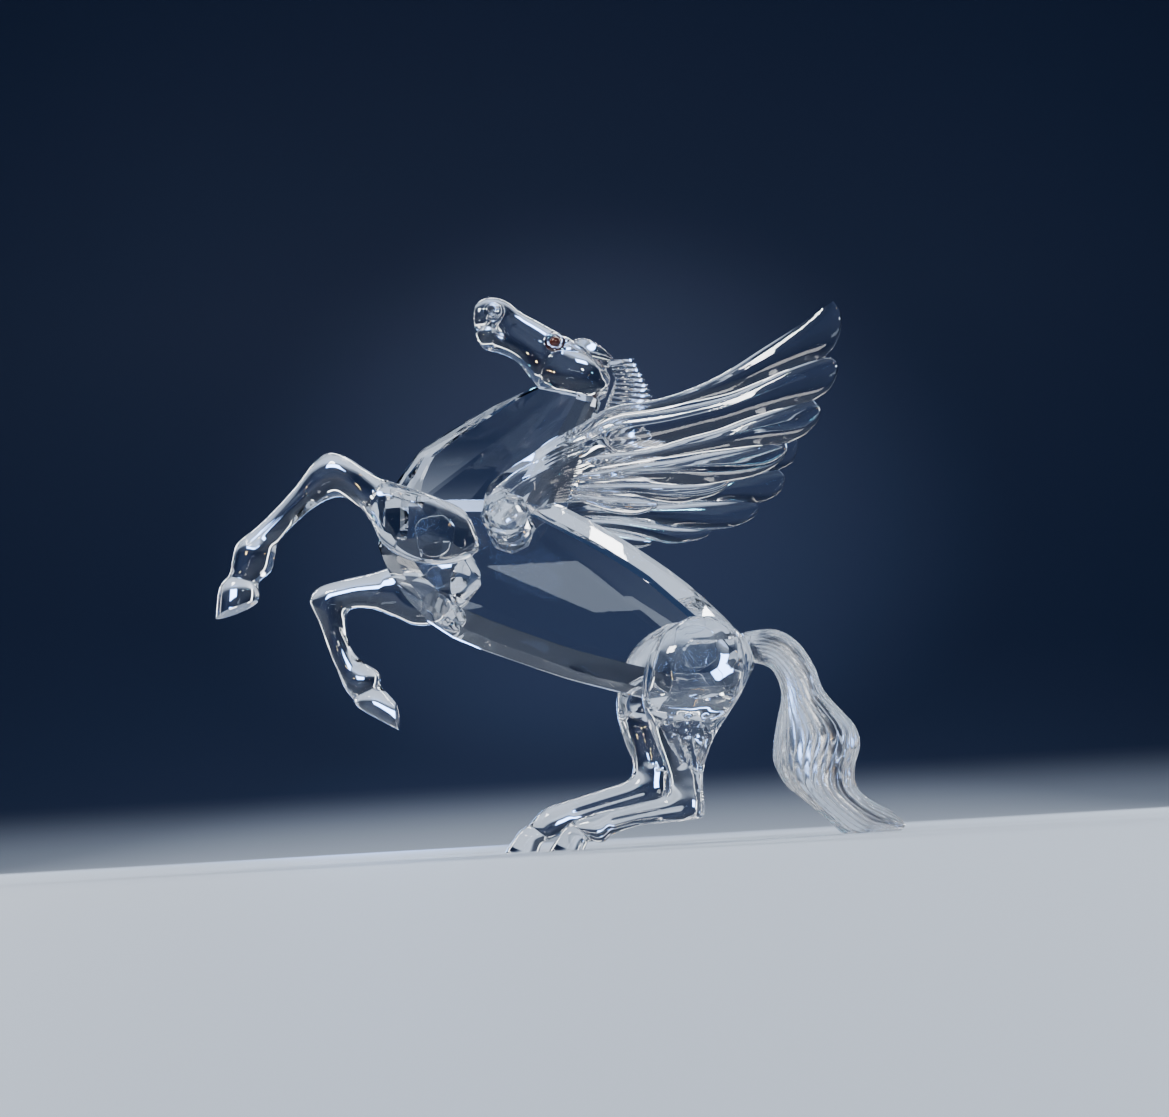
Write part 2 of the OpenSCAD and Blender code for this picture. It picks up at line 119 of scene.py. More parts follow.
def glass_material(name, colour, ior, rough, bump, transmission=1):
    """rough is (lowest, highest) roughness; bump is (scale, strength, distance)."""
    material, tree, shader = new_material(name)
    shader.inputs["Base Color"].default_value = (*colour, 1)
    shader.inputs["IOR"].default_value = ior
    shader.inputs["Transmission Weight"].default_value = transmission
    place = tree.nodes.new("ShaderNodeTexCoord")
    add_bump(tree, shader, place, *bump)
    add_roughness(tree, shader, place, ROUGHNESS_SCALE, *rough)
    return material


cut_crystal = glass_material("cut_crystal", (0.985, 0.992, 1.0), HEAVY_CRYSTAL_IOR,
                             (0.0, 0.012), (260, 0.05, 4e-5))
pressed_crystal = glass_material("pressed_crystal", (0.985, 0.99, 1.0), CRYSTAL_IOR,
                                 (0.0, 0.03), (420, 0.09, 6e-5))
satin_crystal = glass_material("satin_crystal", (0.95, 0.965, 0.985), CRYSTAL_IOR,
                               (0.16, 0.28), (900, 0.2, 8e-5))
comb_crystal = glass_material("comb_crystal", (0.96, 0.975, 1.0), CRYSTAL_IOR,
                              (0.06, 0.16), (700, 0.15, 6e-5))
film_glass = glass_material("adhesive", (0.97, 0.985, 1.0), ADHESIVE_IOR,
                            (0.02, 0.06), (500, 0.05, 3e-5))
eye_stone = glass_material("eye_stone", (0.1, 0.018, 0.01), STONE_IOR,
                           (0.02, 0.05), (500, 0.05, 3e-5), transmission=0.35)


# ---------------------------------------------------------------- shape helpers

def smooth_step(value):
    """0 below 0, 1 above 1, and an even slope with soft ends between."""
    value = np.clip(value, 0, 1)
    return value * value * (3 - 2 * value)


def curve_points(points, steps):
    """A Catmull-Rom curve through the rows of an array, with that many steps between two rows."""
    points = np.asarray(points, float)
    last = len(points) - 1
    rows = []
    for i in range(last):
        a, b, c, d = points[max(i - 1, 0)], points[i], points[i + 1], points[min(i + 2, last)]
        for j in range(steps):
            t = j / steps
            rows.append(0.5 * (2 * b + (c - a) * t + (2 * a - 5 * b + 4 * c - d) * t ** 2
                               + (3 * b - a - 3 * c + d) * t ** 3))
    rows.append(points[last])
    return np.array(rows)


def resample(points, count):
    """Evenly spaced points along a line of points."""
    length = np.concatenate([[0], np.cumsum(np.linalg.norm(np.diff(points, axis=0), axis=1))])
    wanted = np.linspace(0, length[-1], count)
    return np.stack([np.interp(wanted, length, points[:, k]) for k in range(points.shape[1])], axis=-1)


def grid_faces(rows, cols, around=False):
    """The quads of a grid of points. around joins the last column to the first."""
    wide = cols if around else cols - 1
    return [
        (r * cols + c, r * cols + (c + 1) % cols, (r + 1) * cols + (c + 1) % cols, (r + 1) * cols + c)
        for r in range(rows - 1) for c in range(wide)
    ]


def loft(stations, around, steps, side=RIGHT, floor_line=(0, 0), strand=None):
    """A closed solid through stations (ax, az, bx, bz, out, half, limit).

    The first four numbers are the two silhouette points of a section, then the distance of its
    centre from the middle plane, its half thickness and its inner limit. Nothing reaches below
    floor_line, a (height, slope) pair. strand(angle, along) gives the ripple of the section.
    """
    rows = curve_points(stations, steps)
    angle = np.linspace(0, 2 * math.pi, around, endpoint=False)[None, :]
    along = np.linspace(0, 1, len(rows))[:, None]
    wave = strand(angle, along) if strand else np.ones((len(rows), around))
    ax, az, bx, bz, out, half, limit = (rows[:, k:k + 1] for k in range(7))
    x = (ax + bx) / 2 + (ax - bx) / 2 * np.cos(angle) * wave
    z = (az + bz) / 2 + (az - bz) / 2 * np.cos(angle) * wave
    y = side * np.maximum(limit, out + half * np.sin(angle) * wave)
    z = np.maximum(z, floor_line[0] + floor_line[1] * x)
    points = np.stack([x, y, z], axis=-1).reshape(-1, 3)
    faces = grid_faces(len(rows), around, around=True)
    faces.append(tuple(range(around)))
    faces.append(tuple(range(len(points) - around, len(points))))
    return points, faces


def closed_sheet(front, back):
    """A closed shell between two grids of points of the same size."""
    rows, cols = front.shape[:2]
    size = rows * cols
    points = np.concatenate([front.reshape(-1, 3), back.reshape(-1, 3)])
    faces = grid_faces(rows, cols)
    faces += [tuple(size + k for k in reversed(face)) for face in faces]
    ring = list(range(cols))
    ring += [r * cols + cols - 1 for r in range(1, rows)]
    ring += [(rows - 1) * cols + c for c in range(cols - 2, -1, -1)]
    ring += [r * cols for r in range(rows - 2, 0, -1)]
    for a, b in zip(ring, ring[1:] + ring[:1]):
        faces.append((a, size + a, size + b, b))
    return points, faces


def revolve(profile, around=48):
    """A solid turned about its own Z axis, from (radius, height) points from axis to axis."""
    profile = np.asarray(profile, float)
    angle = np.linspace(0, 2 * math.pi, around, endpoint=False)
    inner = profile[1:-1]
    rings = [np.stack([radius * np.cos(angle), radius * np.sin(angle), np.full(around, height)], axis=-1)
             for radius, height in inner]
    points = np.concatenate(rings + [[[0, 0, profile[0][1]]], [[0, 0, profile[-1][1]]]])
    faces = grid_faces(len(inner), around, around=True)
    foot = len(points) - 2
    top = len(points) - 1
    last = (len(inner) - 1) * around
    for k in range(around):
        faces.append((foot, (k + 1) % around, k))
        faces.append((top, last + k, last + (k + 1) % around))
    return points, faces


def outwards(points, side):
    """Turns a shape's own Z axis to point away from the horse's middle plane."""
    return np.stack([points[:, 0], side * points[:, 2], points[:, 1]], axis=-1)


def joined(*solids):
    """The points and faces of several solids as those of one mesh."""
    points, faces, start = [], [], 0
    for some_points, some_faces in solids:
        points.append(some_points)
        faces += [tuple(start + k for k in face) for face in some_faces]
        start += len(some_points)
    return np.concatenate(points), faces


def make_mesh(name, points, faces):
    mesh = bpy.data.meshes.new(name)
    mesh.from_pydata([tuple(p) for p in points], [], faces)
    work = bmesh.new()
    work.from_mesh(mesh)
    bmesh.ops.recalc_face_normals(work, faces=work.faces)
    work.to_mesh(mesh)
    work.free()
    return mesh


def mesh_arrays(mesh):
    """The places and normals of a mesh's points."""
    count = len(mesh.vertices)
    points = np.empty(count * 3)
    mesh.vertices.foreach_get("co", points)
    normals = np.empty(count * 3)
    mesh.vertex_normals.foreach_get("vector", normals)
    return points.reshape(-1, 3), normals.reshape(-1, 3)


def emboss(mesh, relief):
    """Moves every point along its normal by relief(points, normals), in millimetres."""
    points, normals = mesh_arrays(mesh)
    points = points + normals * relief(points, normals)[:, None]
    mesh.vertices.foreach_set("co", points.ravel())
    mesh.update()


def fit(mesh, node):
    """Stretches the mesh, in millimetres, onto the box of a CAD node, in metres."""
    low, high = (np.array(corner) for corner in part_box(node))
    points, _ = mesh_arrays(mesh)
    own_low, own_high = points.min(0), points.max(0)
    points = low + (points - own_low) / (own_high - own_low) * (high - low)
    mesh.vertices.foreach_set("co", points.ravel())
    mesh.update()


def add_object(name, content):
    """Links a new object with this mesh, lamp or camera to the scene."""
    thing = bpy.data.objects.new(name, content)
    bpy.context.scene.collection.objects.link(thing)
    return thing


def replace_node(mesh, node, material, sharp=None):
    """Puts a finished mesh in the place of its CAD node. Edges over sharp degrees stay crisp."""
    smooth = sharp is not None
    mesh.polygons.foreach_set("use_smooth", [smooth] * len(mesh.polygons))
    if smooth:
        mesh.set_sharp_from_angle(angle=math.radians(sharp))
    mesh.materials.append(material)
    piece = add_object(node, mesh)
    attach(piece, "root")
    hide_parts(node)


def add_piece(mesh, node, material, sharp=None):
    """Fits a mesh to the box of its CAD node, and replaces the node with it."""
    fit(mesh, node)
    replace_node(mesh, node, material, sharp)


def shave(mesh, centre, radius, cuts):
    """Cuts flat facets into the part of a mesh within radius of centre.

    Each cut is (normal, depth): depth is how far the facet lies below the highest point.
    """
    work = bmesh.new()
    work.from_mesh(mesh)
    centre = Vector(centre)
    for normal, depth in cuts:
        normal = Vector(normal).normalized()
        near = [v for v in work.verts if (v.co - centre).length < radius]
        level = max(normal.dot(v.co) for v in near) - depth
        faces = {f for v in near for f in v.link_faces}
        edges = {e for f in faces for e in f.edges}
        corners = {v for f in faces for v in f.verts}
        bmesh.ops.bisect_plane(work, geom=list(corners) + list(edges) + list(faces),
                               plane_co=normal * level, plane_no=normal)
        for v in work.verts:
            over = normal.dot(v.co) - level
            if over > 0 and (v.co - centre).length < radius:
                v.co -= normal * over
    work.to_mesh(mesh)
    work.free()


# ---------------------------------------------------------------- body and neck: cut crystals

# The two glued planes: heights at x = 0 and tilts in degrees. The neck stands on the joint's plane,
# and the head rests on the poll's.
JOINT_Z = 72.2
JOINT_TILT = 3.5
JOINT_SLOPE = math.tan(math.radians(JOINT_TILT))
POLL_Z = 98.8
POLL_TILT = 15
POLL_SLOPE = math.tan(math.radians(POLL_TILT))
# How wide the bevel on an edge is, and the angle under which two facets count as one.
FACET_BEVEL = 0.14
FLAT_ANGLE = math.radians(2)
# A strip is a row of small facets along a crystal's edge: how long each one is, how many points a
# short strip's line has, how far its legs are bowed, and how far a kite cuts into a corner.
STRIP_PITCH = 5
STRIP_POINTS = 10
STRIP_RISE = 0.02
NICK = 0.55


def joint_at(x):
    """The height of the barrel's top facet."""
    return JOINT_Z - JOINT_SLOPE * x


def over_joint(x):
    """The height of the neck's foot, one film above the barrel."""
    return joint_at(x) + BOND / math.cos(math.radians(JOINT_TILT))


def poll_at(x):
    """The height of the facet under the head."""
    return POLL_Z - POLL_SLOPE * x


def under_poll(x):
    """The height of the neck's top facet, one film below the head."""
    return poll_at(x) - BOND / math.cos(math.radians(POLL_TILT))


def plane_cut(work, low, high, inner, inside):
    """Cuts a solid by the plane through three points and keeps the side where inside lies."""
    low, high, inner = Vector(low), Vector(high), Vector(inner)
    normal = (high - low).cross(inner - low).normalized()
    if normal.dot(Vector(inside) - low) > 0:
        normal.negate()
    cut = bmesh.ops.bisect_plane(work, geom=work.verts[:] + work.edges[:] + work.faces[:],
                                 plane_co=low, plane_no=normal, clear_outer=True)
    edges = [g for g in cut["geom_cut"] if isinstance(g, bmesh.types.BMEdge)]
    if edges:
        bmesh.ops.edgenet_fill(work, edges=edges)


def block(low, high):
    """A box to cut a crystal from."""
    work = bmesh.new()
    bmesh.ops.create_cube(work, size=1)
    low, high = Vector(low), Vector(high)
    for v in work.verts:
        v.co = Vector([(low[k] + high[k]) / 2 + v.co[k] * (high[k] - low[k]) for k in range(3)])
    return work


def bowed(line, rise):
    """Splits the long legs of a line every STRIP_PITCH or so, and bows each one out to its right.

    rise is the height of the bow as a share of the leg's length.
    """
    points = []
    for a, b in zip(line, line[1:]):
        a, b = np.array(a, float), np.array(b, float)
        run = b - a
        count = max(1, round(np.linalg.norm(run) / STRIP_PITCH))
        aside = np.array([run[1], -run[0]]) * rise
        for k in range(count):
            points.append(a + run * k / count + aside * 4 * k * (count - k) / count ** 2)
    return np.array(points + [line[-1]])


def strips(lines, rise, count):
    """The lines of two rows of facets, each bowed and with that many evenly spaced points."""
    return [resample(bowed(line, rise), count) for line in lines]


def at_y(place, y):
    """A place in the side view, (x, z), as a point at that distance from the middle plane."""
    return (place[0], y, place[1])


def girdle(work, side, outer, outer_y, inner, inner_y, inside):
    """Cuts a chain of facets between two lines, and a kite into every corner of the outer line."""
    for i in range(len(outer) - 1):
        middle = (inner[i] + inner[i + 1]) / 2
        plane_cut(work, at_y(outer[i], side * outer_y), at_y(outer[i + 1], side * outer_y),
                  at_y(middle, side * inner_y), inside)
    for i in range(1, len(outer) - 1):
        toward = inner[i] - outer[i]
        corner = outer[i] + toward * NICK / np.linalg.norm(toward)
        plane_cut(work, at_y((inner[i - 1] + inner[i]) / 2, side * inner_y),
                  at_y((inner[i] + inner[i + 1]) / 2, side * inner_y), at_y(corner, side * outer_y), inside)


def two_strips(work, side, lines, depths, inside):
    """Cuts the two rows of facets between three lines, at those distances from the middle plane."""
    for k in range(2):
        girdle(work, side, lines[k], depths[k], lines[k + 1], depths[k + 1], inside)


def level_cut(work, height, reach, inside):
    """Cuts along a slope straight across the horse. height(x) is read at -reach, 0 and reach."""
    plane_cut(work, (-reach, 0, height(-reach)), (reach, 0, height(reach)), (0, 5, height(0)), inside)


def profile_cuts(work, line, inside):
    """Cuts straight across the horse along every leg of a line."""
    for start, end in zip(line, line[1:]):
        plane_cut(work, at_y(start, 0), at_y(end, 0), at_y(start, 1), inside)


def long_facets(work, side, facets, inside):
    """Cuts facets, each through three points, on one side of the horse."""
    for facet in facets:
        plane_cut(work, *((x, side * y, z) for x, y, z in facet), inside)


def finish_crystal(name, work):
    """Bevels every edge between two facets, and makes the mesh."""
    edges = [e for e in work.edges if e.is_manifold and e.calc_face_angle() > FLAT_ANGLE]
    bmesh.ops.bevel(work, geom=edges, offset=FACET_BEVEL, segments=2, profile=0.5, affect="EDGES",
                    clamp_overlap=True)
    bmesh.ops.recalc_face_normals(work, faces=work.faces)
    mesh = bpy.data.meshes.new(name)
    work.to_mesh(mesh)
    work.free()
    return mesh


# The barrel's lines from the chest, under the belly and up the rump: its edge, the line between its
# two strips, and the line where the flat side starts. Then their distances from the middle plane.
BARREL_EDGE = [(-37.5, 66), (-34.5, 58), (-26, 48), (-8.5, 40), (14.5, 32), (28, 28.5), (37.5, 31),
               (40.8, 36.5), (38.5, 43), (30.5, 52)]
BARREL_MIDDLE = [(-34.6, 66), (-32, 58.9), (-24.3, 50), (-7.6, 42.3), (15.2, 34.3), (27.8, 30.8),
                 (35.6, 32.8), (38.2, 37), (36.2, 42), (28.6, 50)]
BARREL_INNER = [(-31.8, 66), (-29.2, 60), (-22.4, 52.2), (-6.6, 44.8), (15.9, 36.8), (27.4, 33.3),
                (33.2, 35), (35.2, 37.8), (33.4, 41.4), (26.5, 48)]
BARREL_Y = (2.5, 7.2, 10.3)
# The back's own lines: its edge, the line between its two strips, and where its long facets start.
BACK_EDGE = [(3.3, 72), (22.5, 59), (30.5, 52), (38.5, 43)]
BACK_MIDDLE = [(1.8, 70.4), (21.1, 57.3), (29, 50.4), (36.6, 42.2)]
BACK_INNER = [(-0.4, 68.6), (19.6, 55.2), (27.6, 48.6), (34.6, 41.6)]
BACK_Y = (2.5, 6.9, 9.88)
# Long facets below the back, each through two points on its upper line and one on its lower line.
LONG_FACETS = [
    ((-1.6, 9.9, 69.1), (29.9, 9.9, 47.8), (13.4, 10.22, 53.8)),
    ((-4.8, 10.22, 66.2), (29.6, 10.16, 45), (9.2, 10.36, 53.8)),
    ((-11.8, 10.36, 63.2), (21.4, 10.34, 47.4), (4.8, 10.5, 49.7)),
    ((-23.4, 10.3, 51.4), (16.4, 10.3, 34.3), (-4, 10.5, 46)),
]
# The chest's facet runs from its top corner to the start of the barrel's edge.
CHEST_TOP_X = -36.8
CHEST_BEVEL = (-33.8, 69)
BARREL_INSIDE = (0, 0, 55)


def body_mesh():
    work = block((-60, -BODY_HALF, 0), (60, BODY_HALF, 110))
    level_cut(work, joint_at, 50, BARREL_INSIDE)
    # The two outer lines of the belly take as many points as its inner line.
    inner = bowed(BARREL_INNER, STRIP_RISE)
    belly = [*strips((BARREL_EDGE, BARREL_MIDDLE), STRIP_RISE, len(inner)), inner]
    back = strips((BACK_EDGE, BACK_MIDDLE, BACK_INNER), -STRIP_RISE, STRIP_POINTS)
    chest_top = (CHEST_TOP_X, joint_at(CHEST_TOP_X))
    profile_cuts(work, [chest_top, *belly[0]], BARREL_INSIDE)
    profile_cuts(work, back[0], BARREL_INSIDE)
    for side in (LEFT, RIGHT):
        two_strips(work, side, belly, BARREL_Y, BARREL_INSIDE)
        two_strips(work, side, back, BACK_Y, BARREL_INSIDE)
        long_facets(work, side, LONG_FACETS, BARREL_INSIDE)
        plane_cut(work, at_y(chest_top, side * BARREL_Y[0]), at_y(BARREL_EDGE[0], side * BARREL_Y[0]),
                  at_y(CHEST_BEVEL, side * BARREL_Y[1]), BARREL_INSIDE)
    return finish_crystal("body", work)


# The throat's lines, from the chest up to the poll, as those of the barrel.
THROAT_EDGE = [(-36.3, 74.72), (-33, 80.5), (-28.5, 86), (-19.5, 92.2), (-2.5, 99.16)]
THROAT_MIDDLE = [(-34.2, 74.6), (-31, 79.7), (-26.4, 84.8), (-18.4, 90.2), (-2.6, 97.6)]
THROAT_INNER = [(-31.4, 74.4), (-28.2, 79), (-23.3, 84), (-16.9, 88.3), (-3.4, 96.2)]
THROAT_Y = (2.5, 5.4, 6.9)
NECK_BACK = [(3, 72.32), (11.8, 95.33)]
# Long facets that run together at the poll, each through three of its points.
NECK_FACETS = [
    ((-22, 9.45, 72.6), (-5, 9.5, 72.6), (6, 4.8, 96.8)),
    ((-17.1, 9.3, 73.4), (1, 5, 95.4), (-14.5, 6.25, 86.4)),
    ((-24.2, 8.1, 76.5), (-1.2, 4.6, 96.2), (-17.8, 5.45, 88.1)),
    ((-6, 9.45, 72.7), (7.5, 4.7, 96.4), (1.5, 6.75, 84.5)),
    ((-1, 8.4, 72.4), (10, 4, 95.8), (5.2, 4.9, 84)),
    ((3, 2.5, 72.32), (11.8, 2.5, 95.33), (5, 5.1, 84)),
]
NECK_INSIDE = (-10, 0, 82)


def neck_mesh():
    work = block((-60, -BODY_HALF, 50), (30, BODY_HALF, 120))
    level_cut(work, over_joint, 50, NECK_INSIDE)
    level_cut(work, under_poll, 30, NECK_INSIDE)
    throat = strips((THROAT_EDGE, THROAT_MIDDLE, THROAT_INNER), -STRIP_RISE, STRIP_POINTS)
    profile_cuts(work, throat[0], NECK_INSIDE)
    profile_cuts(work, NECK_BACK, NECK_INSIDE)
    for side in (LEFT, RIGHT):
        two_strips(work, side, throat, THROAT_Y, NECK_INSIDE)
        long_facets(work, side, NECK_FACETS, NECK_INSIDE)
    return finish_crystal("neck", work)


add_piece(body_mesh(), "body", cut_crystal)
add_piece(neck_mesh(), "neck", cut_crystal)


# ---------------------------------------------------------------- head, eyes and mane

HEAD_STATIONS = [
    (14.3, 100.5, 13, 96.5, 0, 2.6, FREE), (13.3, 103.2, 9, 95, 0, 3.8, FREE),
    (11.2, 106, 4, 96.8, 0, 4.6, FREE), (8.2, 108.5, -1, 99.2, 0, 4.6, FREE),
    (5.3, 110.7, -3.6, 102.3, 0, 4.2, FREE), (2.2, 112.6, -5.4, 105, 0, 3.7, FREE),
    (-1.5, 115, -7.6, 106.9, 0, 3.2, FREE), (-4.6, 117, -9.8, 108, 0, 2.8, FREE),
    (-7.2, 119.4, -11.8, 108.6, 0, 2.7, FREE), (-9.6, 120.6, -13.4, 109.4, 0, 2.9, FREE),
    (-12.2, 120.7, -14.6, 111.4, 0, 2.9, FREE), (-14.2, 119.6, -15, 113.4, 0, 2.3, FREE),
    (-14.9, 117.8, -15, 115.4, 0, 1.2, FREE),
]
EAR_STATIONS = [
    (6.6, 109.2, 5.4, 107.6, 2.6, 0.7, FREE), (9.2, 109.4, 7.6, 106.2, 2.8, 1.1, FREE),
    (12.4, 107.4, 10.6, 104.6, 3, 1, FREE), (15, 104.6, 14.2, 103.8, 3.1, 0.3, FREE),
]
# Places (x, z) on the head in the side view, and lines through such places.
EYE_PLACE = (2.6, 108.8)
EYE_RADIUS = 1.2
EYE_WALL = 0.7
EYE_DOME = 0.9
CHEEK = (6.6, 100.6)
NOSE_TIP = (-10.4, 116.9)
NOSTRIL_RIM = (-10.6, 116.9)
NOSTRIL = (-10.9, 116.9)
CHIN = (-12.4, 111.2)
JAW_LINE = [(4.6, 108.4), (0.9, 105.6), (-0.8, 102.4), (-2, 99.6)]
TEMPLE_LINE = [(4.4, 106.8), (8.6, 106), (11.6, 103)]
MOUTH_LINE = [(-15.6, 113.2), (-12.4, 114), (-10.2, 112.9), (-8.7, 111.9)]
LIP_LINE = [(-14.4, 114.9), (-12.2, 115.3)]
NOSE_LINE = [(-5.6, 113.6), (0.4, 109.2)]
MOUTH_X = -13.2
MOUTH_Z = 113.2


def away_from(points, place):
    """Distance of every point from a place, as seen from the side."""
    return np.hypot(points[:, 0] - place[0], points[:, 2] - place[1])


def away_from_line(points, start, end):
    """Distance of every point from the line between two places, as seen from the side."""
    start, end = np.array(start), np.array(end)
    flat = points[:, [0, 2]]
    share = np.clip(((flat - start) @ (end - start)) / ((end - start) @ (end - start)), 0, 1)
    return np.linalg.norm(flat - start - share[:, None] * (end - start), axis=1)


def mound(points, place, radius, height):
    """A flat-topped mound, as a height for every point."""
    return height * smooth_step(1.6 * (1 - away_from(points, place) / radius))


def rim(points, place, radius, width, height):
    """A raised ring."""
    return height * np.exp(-((away_from(points, place) - radius) / width) ** 2)


def groove(points, line, width, depth):
    """A groove along a line of places."""
    total = np.zeros(len(points))
    for start, end in zip(line, line[1:]):
        total = np.maximum(total, np.exp(-(away_from_line(points, start, end) / width) ** 2))
    return -depth * total


def head_relief(points, normals):
    """Mounds and rims rise, and the eye's socket, the nostril and the grooves sink in."""
    relief = mound(points, CHEEK, 6.4, 0.55)
    relief += groove(points, JAW_LINE, 0.55, 0.35)
    relief += rim(points, EYE_PLACE, 1.75, 0.4, 0.4)
    relief -= mound(points, EYE_PLACE, 1.3, 0.9)
    relief += groove(points, TEMPLE_LINE, 0.5, 0.25)
    relief += mound(points, NOSE_TIP, 2.4, 0.5)
    relief -= mound(points, NOSTRIL, 1.0, 0.95)
    relief += rim(points, NOSTRIL_RIM, 1.5, 0.35, 0.3)
    relief += groove(points, MOUTH_LINE, 0.42, 1.1)
    relief += groove(points, LIP_LINE, 0.3, 0.3)
    relief += mound(points, CHIN, 1.9, 0.35)
    relief += groove(points, NOSE_LINE, 0.9, 0.22)
    # All of this is on the cheeks. The mouth also shows as a notch in the profile.
    relief *= smooth_step(np.abs(normals[:, 1]) * 1.4)
    notch = smooth_step((MOUTH_X - points[:, 0]) / 1.2) * np.exp(-((points[:, 2] - MOUTH_Z) / 0.55) ** 2)
    return relief - 1.1 * notch


def head_mesh():
    head_solid = loft(HEAD_STATIONS, around=120, steps=14, floor_line=(POLL_Z, -POLL_SLOPE))
    ears = [loft(EAR_STATIONS, around=40, steps=14, side=side) for side in (LEFT, RIGHT)]
    mesh = make_mesh("head_only", *head_solid)
    emboss(mesh, head_relief)
    points, _ = mesh_arrays(mesh)
    bpy.data.meshes.remove(mesh)
    # The relief may not reach below the glued facet.
    points[:, 2] = np.maximum(points[:, 2], poll_at(points[:, 0]))
    return make_mesh("head", *joined((points, head_solid[1]), *ears))


def eye_mesh(name, side):
    """A low dome on a short wall."""
    arc = [(EYE_RADIUS * math.cos(a), EYE_WALL + EYE_DOME * math.sin(a))
           for a in np.linspace(0, math.pi / 2, 12)]
    arc[-1] = (0, EYE_WALL + EYE_DOME)
    points, faces = revolve([(0, 0), (EYE_RADIUS, 0)] + arc)
    return make_mesh(name, outwards(points, side), faces)


MANE_ROOT = [(13.6, 104.6), (15.2, 100.5), (13.4, 95.8), (10.9, 89.6), (8.3, 83.2), (5.5, 76.4)]
MANE_EDGE = [(19.8, 104.9), (21.8, 100.2), (23.2, 95.2), (20.4, 87.2), (15.6, 79.6), (9.4, 72.8)]
MANE_RIBS = 14
MANE_HALF = 1.9


def mane_mesh():
    """A comb from its root to its edge. Each rib has two locks, and they end at different lengths."""
    per_rib, across = 24, 26
    rows = MANE_RIBS * per_rib + 1
    root = resample(curve_points(MANE_ROOT, 12), rows)
    edge = resample(curve_points(MANE_EDGE, 12), rows)
    rib = (np.arange(rows) % per_rib) / per_rib
    lock = (2 * rib) % 1
    reach = 0.84 + 0.04 * rib + 0.12 * (1 - lock) ** 1.3
    v = np.linspace(0, 1, across)[None, :]
    place = root[:, None, :] + (edge - root)[:, None, :] * (v * reach[:, None])[:, :, None]
    ridge = 0.42 + 0.2 * (1 - rib) + 0.38 * (1 - np.abs(2 * lock - 1))
    half = MANE_HALF * np.where(v == 0, 1, ridge[:, None]) * (1 - 0.8 * v ** 1.4)
    front = np.stack([place[:, :, 0], half, place[:, :, 1]], axis=-1)
    back = np.stack([place[:, :, 0], -half, place[:, :, 1]], axis=-1)
    return make_mesh("mane", *closed_sheet(front, back))


add_piece(head_mesh(), "head", pressed_crystal, 40)
add_piece(mane_mesh(), "mane", comb_crystal, 30)
for name, side in (("eye_left", LEFT), ("eye_right", RIGHT)):
    add_piece(eye_mesh(name, side), name, eye_stone, 40)


# ---------------------------------------------------------------- wings

# The lines that run from the covert edge to the notches, and the round ends between the notches.
FEATHER_LINES = [
    [(16, 89.5), (22, 89.5), (28, 90.4), (36, 92.8), (44.5, 97), (52.8, 101.2), (58.8, 104.8)],
    [(15.8, 87), (23.5, 87), (31.8, 87.5), (38, 88.4), (44, 90.2), (50.2, 92.2), (56.2, 93.4)],
    [(13, 79.5), (21, 79.4), (29.3, 80.6), (35.4, 81.5), (41.5, 83), (47.5, 84.2), (53.3, 85)],
    [(11, 76.2), (18.5, 76.6), (25, 76.5), (31.1, 76.8), (37.1, 77), (43.1, 77.2), (47.6, 77)],
    [(9.3, 73.4), (14, 73), (18.6, 72.5), (23.5, 71.7), (28, 71), (32.5, 70.6), (36.3, 70.7)],
    [(7.5, 71.3), (10, 70.8), (12.3, 70.4), (14.5, 70), (16.7, 69.6), (19, 69), (21.6, 68.2)],
    [(7, 70), (8.6, 69), (11, 67.7), (13.8, 66.8), (16.5, 66.3), (19, 66.4), (21.4, 67)],
]
FEATHER_ENDS = [
    [(60, 102.2), (59.8, 99), (58.7, 96)], [(58.2, 92.6), (58.4, 90), (56.6, 86.8)],
    [(54.6, 83.4), (54, 80.8), (51.4, 78.4)], [(47.5, 75), (45.2, 72.8), (41, 71.2)],
    [(34.8, 69.1), (31.5, 68), (26.5, 67.4)], [(21.8, 67.9), (21.8, 67.6), (21.7, 67.3)],
]
# The arm's upper and lower outline points, from the boss to the roots of the feathers.
ARM_ROWS = [
    [(-14, 71), (-12.2, 67)], [(-12.6, 75.4), (-7, 66.4)], [(-8, 78.8), (-3.4, 69.6)],
    [(-3.8, 81.4), (0, 70.6)], [(0.6, 84.2), (2.4, 70.6)], [(6.8, 86.7), (4.4, 70.5)],
    [(11.4, 89), (5.8, 70.3)], [(15.2, 89.7), (6.6, 70.1)],
]
# The boss is a gem with 8 sides: its place, and (share of the radius, height) points.
BOSS_PLACE = (-9.6, 69)
BOSS_RADIUS = 5.2
BOSS_SIDES = 8
BOSS_SHAPE = [(0, 0), (0.6, 0), (1, 2.6), (0.55, 5.6), (0, 5.6)]
# A wing's middle lies WING_OFFSET out from the pad, and flares outwards behind x = WING_START.
WING_START = -3
WING_OFFSET = 2.6
WING_FLARE = 0.3
FEATHER_HALF = 1.5
FEATHERS = 6
# Where a feather's shaft lies across it.
SHAFT_SHARE = 0.36
# The inner face of a wing is flatter than its outer face.
BACK_SHARE = 0.5
# The arm's half thicknesses at these shares across it, with a flat facet from each to the next.
ARM_SHARES = [0, 0.16, 0.4, 0.62, 1]
ARM_HALVES = [0.45, 1.5, 2.15, 1.35, 0.45]
# How many barbs and scallops the coverts have across the arm.
BARBS = 18
SCALLOPS = 8


def wing_out(x):
    """Distance of a wing's middle from the middle plane."""
    return PAD + WING_OFFSET + WING_FLARE * np.maximum(0, x - WING_START)


